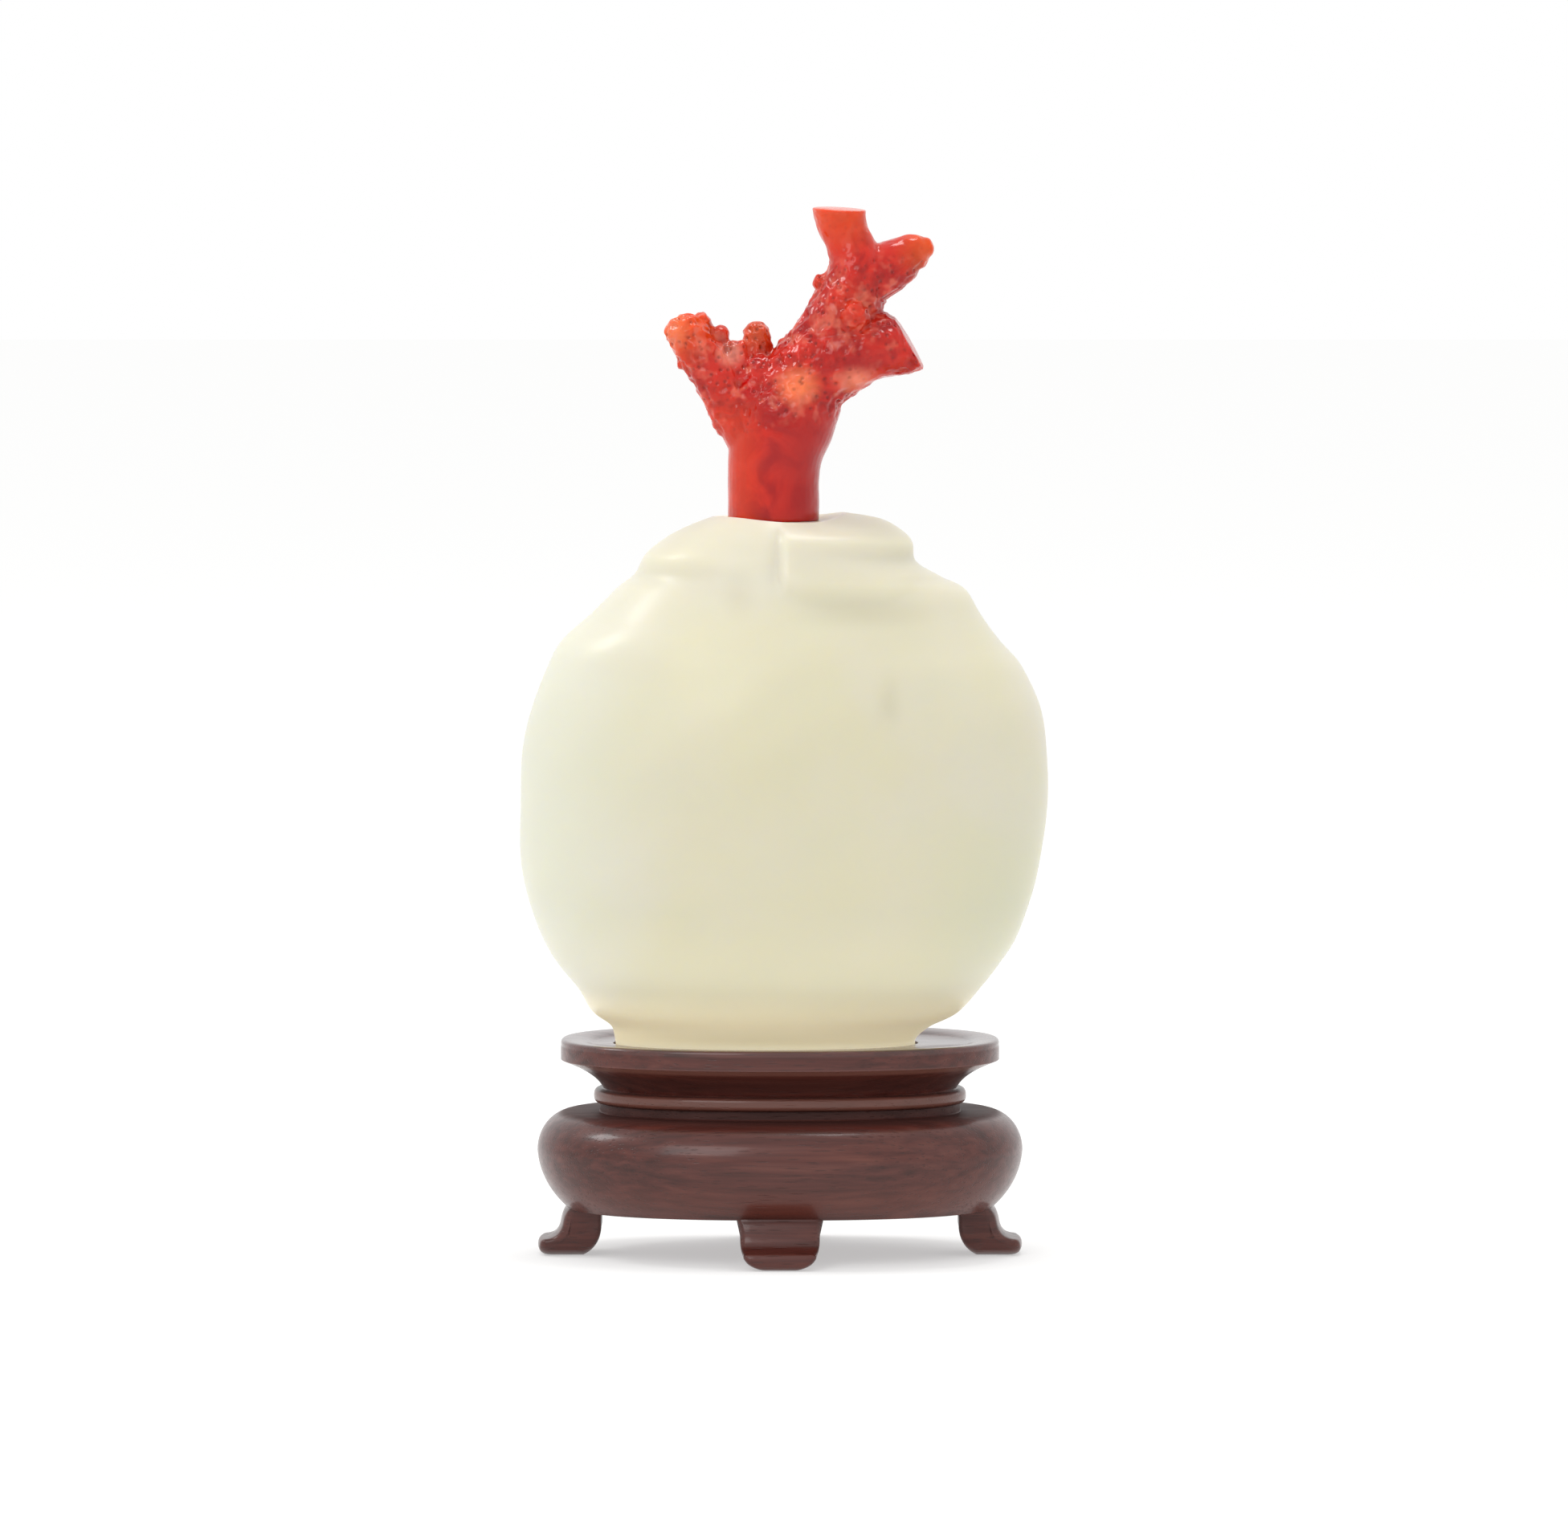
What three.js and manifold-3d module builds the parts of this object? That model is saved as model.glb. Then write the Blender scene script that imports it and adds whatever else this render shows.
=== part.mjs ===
// A snuff bottle of pale jade with a red coral stopper, on its carved hardwood stand.
// Millimetres, +Z up. The origin is the middle of the stand's footprint, on the surface it stands on.
// The bottle is hollow, and the stopper lifts out of its mouth. The front faces -Y.
import * as THREE from "three";
import { mergeVertices } from "three/addons/utils/BufferGeometryUtils.js";
import Module from "manifold-3d";

const wasm = await Module();
wasm.setup();

// Stand: widths are along X. Its oval is less deep than wide by the same amount at every height.
const rimWidth = 43.8;
const apronWidth = 42.8;
const drumOverhang = 2.85; // the drum past the apron's edge, on each side
const beadWidth = 37.2;
const waistWidth = 35.4;
const ovalDifference = 13;
const footHeight = 4.75;
const drumHeight = 9.6;
const grooveHeight = 0.9;
const beadHeight = 1.4;
const flareHeight = 2.95;
const lipThickness = 2;
const lipWidth = 1.6;
const dishDepth = 0.45;
const pocketDepth = 0.3;
const apronWall = 4;
const undersideDepth = 2.6;

// Stand feet: four alike, each a scroll with its toe turned out.
const footWidth = 7.9;
const footSoleWidth = 4.2;
const toeReach = 2.8;
const toeHeight = 1.75;
const footNeck = 3.7;
const footHeel = 1.3; // the rounding at the back of the sole
const footFlare = 0.8; // how far a foot spreads into the apron, on each side

// Bottle
const bottleHeight = 53.35;
const bottleWidth = 52.5;
const bottleDepth = 32;
const wallThickness = 4;
const floorThickness = 5;
const shoulderThickness = 8.5; // from the top of the collar down to the top of the hollow
const mouthBore = 6.8;
const bottleSetOff = 0.4; // middle of the body along X, from the middle of the stand
const mouthSetOff = -1.05; // middle of the mouth along X, from the middle of the body
const seatSinking = 0.8; // the stopper's seat lies this far under the top of the collar
const seatMargin = 1;
const collarRelief = 0.95;

// Stopper
const stopperHeight = 30.9;
const stemDiameter = 9.1;
const spigotLength = 3.5;

const footClearance = 0.3;
const spigotClearance = 0.35;
const standOvalPower = 2.35;
const bottleOvalPower = 2.12;
const standSides = 44;
const bottleSides = 42;

const jade = new THREE.MeshStandardMaterial({ color: 0xe4dfc1, roughness: 0.3, metalness: 0 });
const coral = new THREE.MeshStandardMaterial({ color: 0xc0402c, roughness: 0.35, metalness: 0 });
const hardwood = new THREE.MeshStandardMaterial({ color: 0x5e3a33, roughness: 0.4, metalness: 0 });

// One horizontal oval as a ring of points, anticlockwise from above.
function oval({ centre = 0, halfWidth, halfDepth, height, power = 2, sides }) {
  const ring = [];
  for (let i = 0; i < sides; i += 1) {
    const angle = (2 * Math.PI * i) / sides;
    const c = Math.cos(angle);
    const s = Math.sin(angle);
    const x = centre + halfWidth * Math.sign(c) * Math.abs(c) ** (2 / power);
    const y = halfDepth * Math.sign(s) * Math.abs(s) ** (2 / power);
    ring.push(new THREE.Vector3(x, y, height));
  }
  return ring;
}

// A closed skin through rings of equal length, shut at each end by a fan to the ring's middle.
function loft(rings) {
  const sides = rings[0].length;
  const points = rings.flat();
  const middle = (ring) => ring.reduce((sum, p) => sum.add(p), new THREE.Vector3()).divideScalar(sides);
  const start = points.push(middle(rings[0])) - 1;
  const end = points.push(middle(rings[rings.length - 1])) - 1;
  const faces = [];
  for (let j = 0; j < sides; j += 1) {
    const next = (j + 1) % sides;
    faces.push(start, next, j);
    for (let k = 0; k + 1 < rings.length; k += 1) {
      const low = k * sides;
      const high = low + sides;
      faces.push(low + j, low + next, high + next, low + j, high + next, high + j);
    }
    const last = (rings.length - 1) * sides;
    faces.push(last + j, last + next, end);
  }
  return new THREE.BufferGeometry().setFromPoints(points).setIndex(faces);
}

// A geometry as a solid that can be joined and cut.
function solid(geometry) {
  const bare = geometry.clone();
  bare.deleteAttribute("normal");
  bare.deleteAttribute("uv");
  const merged = mergeVertices(bare);
  return new wasm.Manifold(
    new wasm.Mesh({
      numProp: 3,
      vertProperties: new Float32Array(merged.attributes.position.array),
      triVerts: new Uint32Array(merged.index.array),
    }),
  );
}

// A solid as a geometry for a mesh.
function geometryOf(body) {
  const mesh = body.getMesh();
  const made = new THREE.BufferGeometry();
  made.setAttribute("position", new THREE.BufferAttribute(mesh.vertProperties, 3));
  made.setIndex(new THREE.BufferAttribute(mesh.triVerts, 1));
  made.computeVertexNormals();
  return made;
}

// The points of a path, with the given number of steps on each curve and one on each straight line.
function outline(path, steps) {
  const points = [];
  for (const curve of path.curves) {
    const count = curve.isLineCurve ? 1 : steps;
    const part = curve.getPoints(count);
    points.push(...(points.length ? part.slice(1) : part));
  }
  return points;
}

// Heights of the stand, from the floor up.
const apronBottom = footHeight;
const drumTop = apronBottom + drumHeight;
const beadTop = drumTop + grooveHeight + beadHeight;
const lipBottom = beadTop + flareHeight;
const standTop = lipBottom + lipThickness;
const dishLevel = standTop - dishDepth;
const pocketFloor = dishLevel - pocketDepth;

// Stand profile as half-widths and heights, from the apron's lower edge up to the inside of the lip.
function standProfile() {
  const drum = apronWidth / 2 + drumOverhang;
  const waist = waistWidth / 2;
  const rim = rimWidth / 2;
  const bellyHeight = apronBottom + drumHeight * 0.6;
  const shoulder = drum - drumHeight * 0.36;
  const bulge = beadHeight * 0.45;
  const groove = beadWidth / 2 - bulge;
  const nose = lipWidth / 2;
  const quarter = Math.PI / 2;
  const path = new THREE.Path();
  path.moveTo(apronWidth / 2, apronBottom);
  path.quadraticCurveTo(drum - 0.25, apronBottom + drumHeight * 0.27, drum, bellyHeight);
  path.absellipse(shoulder, bellyHeight, drum - shoulder, drumTop - bellyHeight, 0, quarter);
  path.lineTo(groove, drumTop);
  path.absellipse(groove, beadTop - beadHeight / 2, bulge, beadHeight / 2, -quarter, quarter);
  path.lineTo(waist, beadTop);
  path.quadraticCurveTo(waist + 0.2, beadTop + flareHeight * 0.5, rim - nose, lipBottom);
  path.absellipse(rim - nose, (lipBottom + standTop) / 2, nose, lipThickness / 2, -quarter, quarter);
  path.quadraticCurveTo(rim - lipWidth * 1.4, standTop, rim - lipWidth * 2, dishLevel);
  return outline(path, 4);
}

// The stand's body: hollow beneath, with a pocket on top that takes the bottle's foot.
function standBody(sole) {
  const ring = (halfWidth, height) => {
    const halfDepth = halfWidth - ovalDifference / 2;
    return oval({ halfWidth, halfDepth, height, power: standOvalPower, sides: standSides });
  };
  const pocket = (height) =>
    oval({
      centre: bottleSetOff + sole.centre,
      halfWidth: sole.halfWidth + footClearance,
      halfDepth: sole.halfDepth + footClearance,
      height,
      power: bottleOvalPower,
      sides: standSides,
    });
  const inside = apronWidth / 2 - apronWall;
  return loft([
    ring(inside - undersideDepth / 2, apronBottom + undersideDepth),
    ring(inside, apronBottom),
    ...standProfile().map((p) => ring(p.x, p.y)),
    pocket(dishLevel),
    pocket(pocketFloor),
  ]);
}

// The side view of a foot: the apron's edge at 0, the toe outwards, the sole on the ground.
function footSide(buried) {
  const side = new THREE.Shape();
  side.moveTo(-footNeck, buried);
  side.lineTo(-footNeck, apronBottom * 0.6);
  side.quadraticCurveTo(-footNeck + 0.1, 0.3, -footNeck + footHeel, 0);
  side.lineTo(toeReach * 0.5, 0);
  side.quadraticCurveTo(toeReach, 0, toeReach, toeHeight * 0.6);
  side.quadraticCurveTo(toeReach, toeHeight, toeReach * 0.75, toeHeight);
  side.quadraticCurveTo(toeReach * 0.3, toeHeight * 1.1, 0.55, apronBottom * 0.68);
  side.quadraticCurveTo(0.4, apronBottom * 0.9, 0, apronBottom);
  side.lineTo(-0.2, buried);
  return side;
}

// The front view of a foot: it widens into the apron and rounds in to a narrower sole.
function footFront(buried) {
  const half = footWidth / 2;
  const straight = apronBottom * 0.6;
  const front = new THREE.Shape();
  front.moveTo(-footSoleWidth / 2, 0);
  front.lineTo(footSoleWidth / 2, 0);
  front.quadraticCurveTo(half, toeHeight * 0.4, half, straight);
  front.quadraticCurveTo(half, apronBottom * 0.9, half + footFlare, apronBottom);
  front.lineTo(half + footFlare, buried);
  front.lineTo(-half - footFlare, buried);
  front.lineTo(-half - footFlare, apronBottom);
  front.quadraticCurveTo(-half, apronBottom * 0.9, -half, straight);
  front.quadraticCurveTo(-half, toeHeight * 0.4, -footSoleWidth / 2, 0);
  return front;
}

// One foot under the edge of the apron, bowed to follow the stand's oval.
function standFoot(reachToEdge, acrossEdge) {
  const buried = apronBottom + 0.8;
  const bevelEnabled = false;
  const across = new THREE.ExtrudeGeometry(footSide(buried), {
    depth: 2 * footWidth,
    steps: 6,
    bevelEnabled,
    curveSegments: 3,
  });
  across.translate(0, 0, -footWidth);
  across.rotateX(Math.PI / 2);
  const length = 2 * (footNeck + toeReach);
  const along = new THREE.ExtrudeGeometry(footFront(buried), {
    depth: length,
    bevelEnabled,
    curveSegments: 4,
  });
  along.translate(0, 0, -length / 2);
  along.rotateX(Math.PI / 2);
  along.rotateZ(Math.PI / 2);

  const foot = geometryOf(solid(across).intersect(solid(along)));
  const place = foot.attributes.position;
  for (let i = 0; i < place.count; i += 1) {
    const share = Math.abs(place.getY(i)) / acrossEdge;
    const bow = reachToEdge * (1 - (1 - share ** standOvalPower) ** (1 / standOvalPower));
    place.setX(i, place.getX(i) + reachToEdge - bow);
  }
  return foot;
}

function stand(sole) {
  const edgeX = apronWidth / 2;
  const edgeY = edgeX - ovalDifference / 2;
  let body = solid(standBody(sole));
  for (let quarter = 0; quarter < 4; quarter += 1) {
    const onSide = quarter % 2 === 0;
    const foot = standFoot(onSide ? edgeX : edgeY, onSide ? edgeY : edgeX);
    body = body.add(solid(foot.rotateZ((quarter * Math.PI) / 2)));
  }
  return geometryOf(body);
}

// Bottle body: where its left side, right side and faces pass at the same steps from foot to shoulder.
// Reach is a share of the half-width or half-depth, and rise a share of the height.
const leftSide = [
  [0.64, 0], [0.645, 0.018], [0.662, 0.04], [0.733, 0.066], [0.785, 0.108], [0.86, 0.155], [0.92, 0.205],
  [0.965, 0.27], [0.998, 0.345], [1, 0.44], [0.998, 0.54], [0.965, 0.625], [0.9, 0.711], [0.842, 0.762],
  [0.735, 0.81], [0.632, 0.86],
];
const rightSide = [
  [0.5, 0], [0.505, 0.016], [0.56, 0.038], [0.665, 0.064], [0.75, 0.11], [0.82, 0.155], [0.88, 0.2],
  [0.928, 0.262], [0.965, 0.33], [0.995, 0.43], [1, 0.54], [0.975, 0.635], [0.905, 0.711], [0.82, 0.76],
  [0.745, 0.81], [0.682, 0.858],
];
const faceSide = [
  [0.53, 0], [0.535, 0.016], [0.61, 0.036], [0.7, 0.066], [0.775, 0.108], [0.845, 0.155], [0.9, 0.205],
  [0.95, 0.27], [0.985, 0.345], [1, 0.44], [0.99, 0.54], [0.945, 0.625], [0.87, 0.705], [0.8, 0.76],
  [0.715, 0.81], [0.63, 0.86],
];
// Collar above the shoulder: spread past its crest in millimetres, and rise as before.
const leftCollar = [[7.5, 0.886], [6.2, 0.922], [4.1, 0.953], [2, 0.976], [0, 0.991]];
const rightCollar = [[9.3, 0.88], [6.4, 0.908], [5.9, 0.948], [4, 0.985], [0, 1]];
const faceCollar = [[3, 0.888], [2.2, 0.925], [1.4, 0.955], [0.7, 0.975], [0, 0.988]];
const crestPastSeat = { left: 0.7, right: 1.6, face: 0.8 };

const seatRadius = stemDiameter / 2 + seatMargin;
const seatHeight = bottleHeight - seatSinking;

function bottleProfiles() {
  const half = bottleWidth / 2;
  const profile = (sides, reach, collar, crest) =>
    new THREE.SplineCurve([
      ...sides.map(([share, rise]) => new THREE.Vector2(share * reach, rise * bottleHeight)),
      ...collar.map(([spread, rise]) => new THREE.Vector2(crest + spread, rise * bottleHeight)),
    ]);
  return {
    left: profile(leftSide, half, leftCollar, seatRadius + crestPastSeat.left - mouthSetOff),
    right: profile(rightSide, half, rightCollar, seatRadius + crestPastSeat.right + mouthSetOff),
    face: profile(faceSide, bottleDepth / 2, faceCollar, seatRadius + crestPastSeat.face),
  };
}

// How far the two carved lobes of the collar stand out at a place on the shoulder, on either face.
function lobeRelief(x, height) {
  const { smoothstep, lerp } = THREE.MathUtils;
  const rise = height / bottleHeight;
  const fromMouth = x - mouthSetOff;
  const onRight = smoothstep(fromMouth, 0.6, 1.8);
  const leftEdge = lerp(0.862, 0.898, smoothstep(-fromMouth, 0, 13));
  const rightEdge = lerp(0.85, 0.885, smoothstep(fromMouth, 10.5, 14.5));
  const edge = lerp(leftEdge, rightEdge, onRight);
  const relief = lerp(0.45, 1, onRight) * collarRelief;
  return relief * smoothstep(rise, edge - 0.011, edge + 0.011) * (1 - smoothstep(rise, 0.955, 0.99));
}

// One ring of the bottle's skin at a step from 0 at the foot to 1 at the collar's crest.
function skinRing(profiles, step) {
  const left = profiles.left.getPoint(step);
  const right = profiles.right.getPoint(step);
  const face = profiles.face.getPoint(step);
  const halfWidth = (left.x + right.x) / 2;
  const centre = (right.x - left.x) / 2;
  const flat = { centre, halfWidth, halfDepth: face.x, height: 0, power: bottleOvalPower, sides: bottleSides };
  return oval(flat).map((p) => {
    const turn = THREE.MathUtils.clamp((p.x - centre) / halfWidth, -1, 1);
    const sideHeight = THREE.MathUtils.lerp(left.y, right.y, (1 + turn) / 2);
    const height = THREE.MathUtils.lerp(face.y, sideHeight, turn * turn);
    const outward = new THREE.Vector2(p.x - centre, p.y).normalize();
    const relief = lobeRelief(p.x, height);
    return new THREE.Vector3(p.x + outward.x * relief, p.y + outward.y * relief, height);
  });
}

// The flat sole of the bottle, which the stand's pocket takes.
function bottleSole() {
  const profiles = bottleProfiles();
  const left = profiles.left.getPoint(0).x;
  const right = profiles.right.getPoint(0).x;
  const halfDepth = profiles.face.getPoint(0).x;
  return { centre: (right - left) / 2, halfWidth: (left + right) / 2, halfDepth };
}

// The bottle: its skin, the seat in the mouth, the bore and the rounded hollow, as one lofted wall.
function bottle() {
  const profiles = bottleProfiles();
  const stations = leftSide.length + leftCollar.length - 1;
  const rings = [0, 1].map((station) => skinRing(profiles, station / stations));
  const bodySteps = 17;
  const collarSteps = 14;
  const shoulder = (leftSide.length - 2) / stations;
  for (let i = 0; i < bodySteps; i += 1) {
    rings.push(skinRing(profiles, THREE.MathUtils.lerp(2 / stations, shoulder, i / bodySteps)));
  }
  for (let i = 0; i <= collarSteps; i += 1) {
    rings.push(skinRing(profiles, THREE.MathUtils.lerp(shoulder, 1, i / collarSteps)));
  }

  const round = (radius, height) =>
    oval({ centre: mouthSetOff, halfWidth: radius, halfDepth: radius, height, sides: bottleSides });
  rings.push(round(seatRadius, seatHeight), round(mouthBore / 2, seatHeight));

  const inside = { halfWidth: bottleWidth / 2 - wallThickness, halfDepth: bottleDepth / 2 - wallThickness };
  const hollowTop = bottleHeight - shoulderThickness;
  const hollowMiddle = (hollowTop + floorThickness) / 2;
  const halfHeight = (hollowTop - floorThickness) / 2;
  const meeting = Math.asin(mouthBore / 2 / inside.halfWidth);
  const steps = 9;
  for (let i = 0; i < steps; i += 1) {
    const turn = meeting + ((Math.PI - meeting) * i) / steps;
    const swell = Math.sin(turn) ** 0.9;
    rings.push(
      oval({
        centre: mouthSetOff * (1 - THREE.MathUtils.smoothstep(turn, meeting, 1)),
        halfWidth: Math.max(mouthBore / 2, inside.halfWidth * swell),
        halfDepth: Math.max(mouthBore / 2, inside.halfDepth * swell),
        height: hollowMiddle + halfHeight * Math.cos(turn),
        sides: bottleSides,
      }),
    );
  }
  return loft(rings);
}

// A coral branch along a line of [right, back, up, radius], in hundredths of the stopper's height.
function branch(line, sides) {
  const unit = stopperHeight / 100;
  const places = line.map(([x, y, z]) => new THREE.Vector3(x, y, z).multiplyScalar(unit));
  const course = new THREE.CatmullRomCurve3(places);
  const girth = new THREE.SplineCurve(line.map(([, , , r], i) => new THREE.Vector2(i, r * unit)));
  const steps = Math.max(3, Math.round(1.7 * (line.length - 1)));
  const frames = course.computeFrenetFrames(steps, false);
  const ringAt = (i, shrink, push) =>
    Array.from({ length: sides }, (_, k) => {
      const angle = (2 * Math.PI * k) / sides;
      const radius = girth.getPoint(course.getUtoTmapping(i / steps)).y * shrink;
      return course
        .getPointAt(i / steps)
        .addScaledVector(frames.normals[i], radius * Math.cos(angle))
        .addScaledVector(frames.binormals[i], radius * Math.sin(angle))
        .addScaledVector(frames.tangents[i], push * unit);
    });
  const rings = Array.from({ length: steps + 1 }, (_, i) => ringAt(i, 1, 0));
  rings.push(ringAt(steps, 0.66, 0.45 * line.at(-1)[3]));
  return loft(rings);
}

const stem = (50 * stemDiameter) / stopperHeight; // the stem's radius in the same hundredths
const trunk = [
  [0, 0, 0, stem], [0, 0, 6, stem], [0, 0, 14, stem], [0.8, 0, 22.5, stem + 0.6], [3.6, 0.3, 32, stem + 1.6],
  [8.2, 0.6, 42, stem + 0.3], [14.4, 0.8, 52, 12.8], [20.6, 0.6, 63, 11.6], [25.4, 0.2, 73, 11.1],
  [26.6, -0.2, 82.4, 9], [24.4, 0.4, 90, 7.6], [22.8, 0.8, 94.6, 7.7], [22.4, 1, 97, 7.6],
];
const branches = [
  {
    sides: 12,
    line: [[12, -0.6, 42, 13.6], [21, -1.2, 52.5, 13], [31.8, -1.6, 56.3, 11.4], [42, -1.8, 56.2, 10]],
  },
  {
    sides: 10,
    line: [[27.9, 0.5, 75, 9.2], [35.7, 1.6, 80.8, 8.8], [42.4, 2.4, 84.7, 6.9], [48.4, 2.8, 87.4, 5]],
  },
  {
    sides: 10,
    line: [
      [-3.2, 0, 24, 10.4], [-12.2, -0.6, 37, 9], [-19.6, -1.4, 48, 7.6],
      [-25.6, -2, 56.6, 7.1], [-30, -2.4, 62.4, 6.2],
    ],
  },
  { sides: 8, line: [[-24.7, -0.6, 57, 5.2], [-23.6, 0.6, 62.2, 4.2], [-23.2, 0.8, 64.8, 3.2]] },
  { sides: 8, line: [[-4.6, 2, 46, 7.8], [-5.4, 2.6, 54.8, 5.1], [-5.7, 2.8, 61.8, 4]] },
  { sides: 10, line: [[-4, 0, 30, 9], [-4.5, -0.5, 42, 10.4], [-5, -0.8, 50, 6.6]] },
  { sides: 8, line: [[-9.8, -0.4, 43, 7.8], [-12.2, 0.6, 51, 6.4], [-12.6, 0.8, 55.4, 4.4]] },
  { sides: 8, line: [[-14, -1, 33, 6.8], [-17.6, -2, 34.6, 4.6], [-19, -2.4, 35, 3]] },
  { sides: 8, line: [[-26.2, -1.5, 52.4, 4.2], [-29.4, -1.8, 51.4, 2.9], [-30.3, -2, 51.2, 2.2]] },
  { sides: 8, line: [[-17.7, 0, 51.5, 6], [-17.6, 1, 57.6, 3.8], [-17.1, 1.2, 61, 2.7]] },
  { sides: 8, line: [[20.5, 0.5, 74.8, 5], [16, 0.5, 76.4, 3.2], [14.6, 0.4, 76.8, 2.4]] },
  { sides: 8, line: [[23.5, -4, 62, 7], [25.8, -9.5, 66, 5.4], [26.8, -12, 68, 4.2]] },
  { sides: 8, line: [[12, 4, 46, 8], [13, 11, 51, 6], [13.6, 15, 53.5, 4.6]] },
];

// The stopper: a coral twig on a plain round spigot that drops into the bore.
function stopper() {
  let body = solid(branch(trunk, 14));
  for (const { line, sides } of branches) body = body.add(solid(branch(line, sides)));
  const joined = 1.5;
  const spigot = new THREE.CylinderGeometry(
    mouthBore / 2 - spigotClearance,
    mouthBore / 2 - spigotClearance,
    spigotLength + joined,
    24,
  );
  spigot.rotateX(Math.PI / 2);
  spigot.translate(0, 0, (joined - spigotLength) / 2);
  return geometryOf(body.add(solid(spigot)));
}

function piece(name, geometry, material) {
  const made = new THREE.Mesh(geometry, material);
  made.name = name;
  return made;
}

const standPiece = piece("stand", stand(bottleSole()), hardwood);
const bottlePiece = piece("bottle", bottle(), jade);
const stopperPiece = piece("coral_stopper", stopper(), coral);

const standing = new THREE.Group();
standing.position.set(bottleSetOff, 0, pocketFloor);
stopperPiece.position.set(mouthSetOff, 0, seatHeight);
standing.add(bottlePiece, stopperPiece);

const object = new THREE.Group();
object.add(standPiece, standing);

export default object;
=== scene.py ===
"""A snuff bottle of pale jade with a red coral stopper, on its carved hardwood stand.

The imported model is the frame. Each of its three pieces is replaced by a finer one of the same
shape: the stand with its rounded lip and scroll feet, the bottle with the two carved lobes of its
collar, and the twig with its knobs, cut ends and pits. Sizes in the classes are in millimetres.
"""

from __future__ import annotations

import logging
import math
from dataclasses import dataclass
from enum import Enum
from typing import Any, Sequence

import bmesh
import bpy
import numpy as np
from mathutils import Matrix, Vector, noise


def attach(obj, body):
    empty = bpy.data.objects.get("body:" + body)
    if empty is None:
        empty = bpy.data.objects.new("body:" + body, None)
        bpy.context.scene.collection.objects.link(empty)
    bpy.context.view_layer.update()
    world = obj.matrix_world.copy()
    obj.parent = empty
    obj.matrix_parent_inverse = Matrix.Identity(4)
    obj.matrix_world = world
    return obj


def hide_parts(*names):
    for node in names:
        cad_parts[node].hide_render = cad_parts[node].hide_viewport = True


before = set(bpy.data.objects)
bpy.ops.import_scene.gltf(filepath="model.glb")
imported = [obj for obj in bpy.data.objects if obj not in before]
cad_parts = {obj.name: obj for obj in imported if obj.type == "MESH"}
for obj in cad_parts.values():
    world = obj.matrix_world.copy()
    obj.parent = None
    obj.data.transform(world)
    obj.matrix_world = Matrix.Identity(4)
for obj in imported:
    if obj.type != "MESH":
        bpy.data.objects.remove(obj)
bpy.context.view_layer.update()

MM = 0.001
BODY = "root"
BLACK = (0.0, 0.0, 0.0, 1.0)
WHITE = (1.0, 1.0, 1.0, 1.0)
TWIG_MASKS = ("tip", "rough", "hollow")
RIDGE_SHIFT = Vector((4.0, 8.0, 1.0))
PIT_SHIFT = Vector((9.0, 2.0, 5.0))

log = logging.getLogger("snuff_bottle")

Flat = tuple[float, float]
Point = tuple[float, float, float]
Colour = tuple[float, float, float, float]
Faces = list[tuple[int, ...]]


# Small helpers


def tone(red: float, green: float, blue: float, gain: float = 1.0) -> Colour:
    """A screen colour from 0 to 255 as the linear colour that a shader takes.

    Args:
        red: Red as seen on a screen.
        green: Green as seen on a screen.
        blue: Blue as seen on a screen.
        gain: Factor on the linear colour, to allow for the light that falls on it.

    Returns:
        The colour with alpha 1.
    """
    parts = []
    for channel in (red, green, blue):
        share = channel / 255.0
        linear = share / 12.92 if share <= 0.04045 else ((share + 0.055) / 1.055) ** 2.4
        parts.append(min(1.0, linear * gain))
    return (parts[0], parts[1], parts[2], 1.0)


def smoothstep(value: np.ndarray | float, low: float, high: float) -> np.ndarray:
    """Rises smoothly from 0 at low to 1 at high."""
    share = np.clip((np.asarray(value, dtype=float) - low) / (high - low), 0.0, 1.0)
    return share * share * (3.0 - 2.0 * share)


def lerp(low: Any, high: Any, share: Any) -> Any:
    """Goes from low to high as share goes from 0 to 1."""
    return low + (high - low) * share


def unit_rows(rows: np.ndarray) -> np.ndarray:
    """Each row of an array as a vector of length 1."""
    return rows / np.linalg.norm(rows, axis=1)[:, None]


def bell(offset: Any, reach: float) -> Any:
    """1 at no offset, falling away as a bell curve whose width is its reach."""
    return np.exp(-((offset / reach) ** 2))


def spline(points: np.ndarray, share: float) -> np.ndarray:
    """A point on the uniform Catmull-Rom curve through the given points.

    Args:
        points: One row for each point.
        share: How far along the curve, from 0 to 1.

    Returns:
        The point as a row.
    """
    last = len(points) - 1
    position = last * share
    start = min(int(math.floor(position)), last)
    t = position - start
    before = points[max(start - 1, 0)]
    here = points[start]
    after = points[min(start + 1, last)]
    beyond = points[min(start + 2, last)]
    leaving = (after - before) * 0.5
    arriving = (beyond - here) * 0.5
    cubic = 2.0 * here - 2.0 * after + leaving + arriving
    square = -3.0 * here + 3.0 * after - 2.0 * leaving - arriving
    return ((cubic * t + square) * t + leaving) * t + here


def quadratic(start: Flat, control: Flat, end: Flat, steps: int) -> list[Flat]:
    """Points of a quadratic curve.

    Args:
        start: Where it starts, which isn't given back.
        control: The point that it bends towards.
        end: Where it ends.
        steps: How many steps it takes.

    Returns:
        The points after the start, up to and with the end.
    """
    found = []
    for i in range(1, steps + 1):
        t = i / steps
        weights = ((1 - t) ** 2, 2 * t * (1 - t), t * t)
        places = zip(start, control, end)
        found.append(tuple(sum(weight * place for weight, place in zip(weights, row)) for row in places))
    return found


def signed_power(value: float, power: float) -> float:
    """A value raised to a power, with its sign kept."""
    return math.copysign(abs(value) ** power, value)


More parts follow.
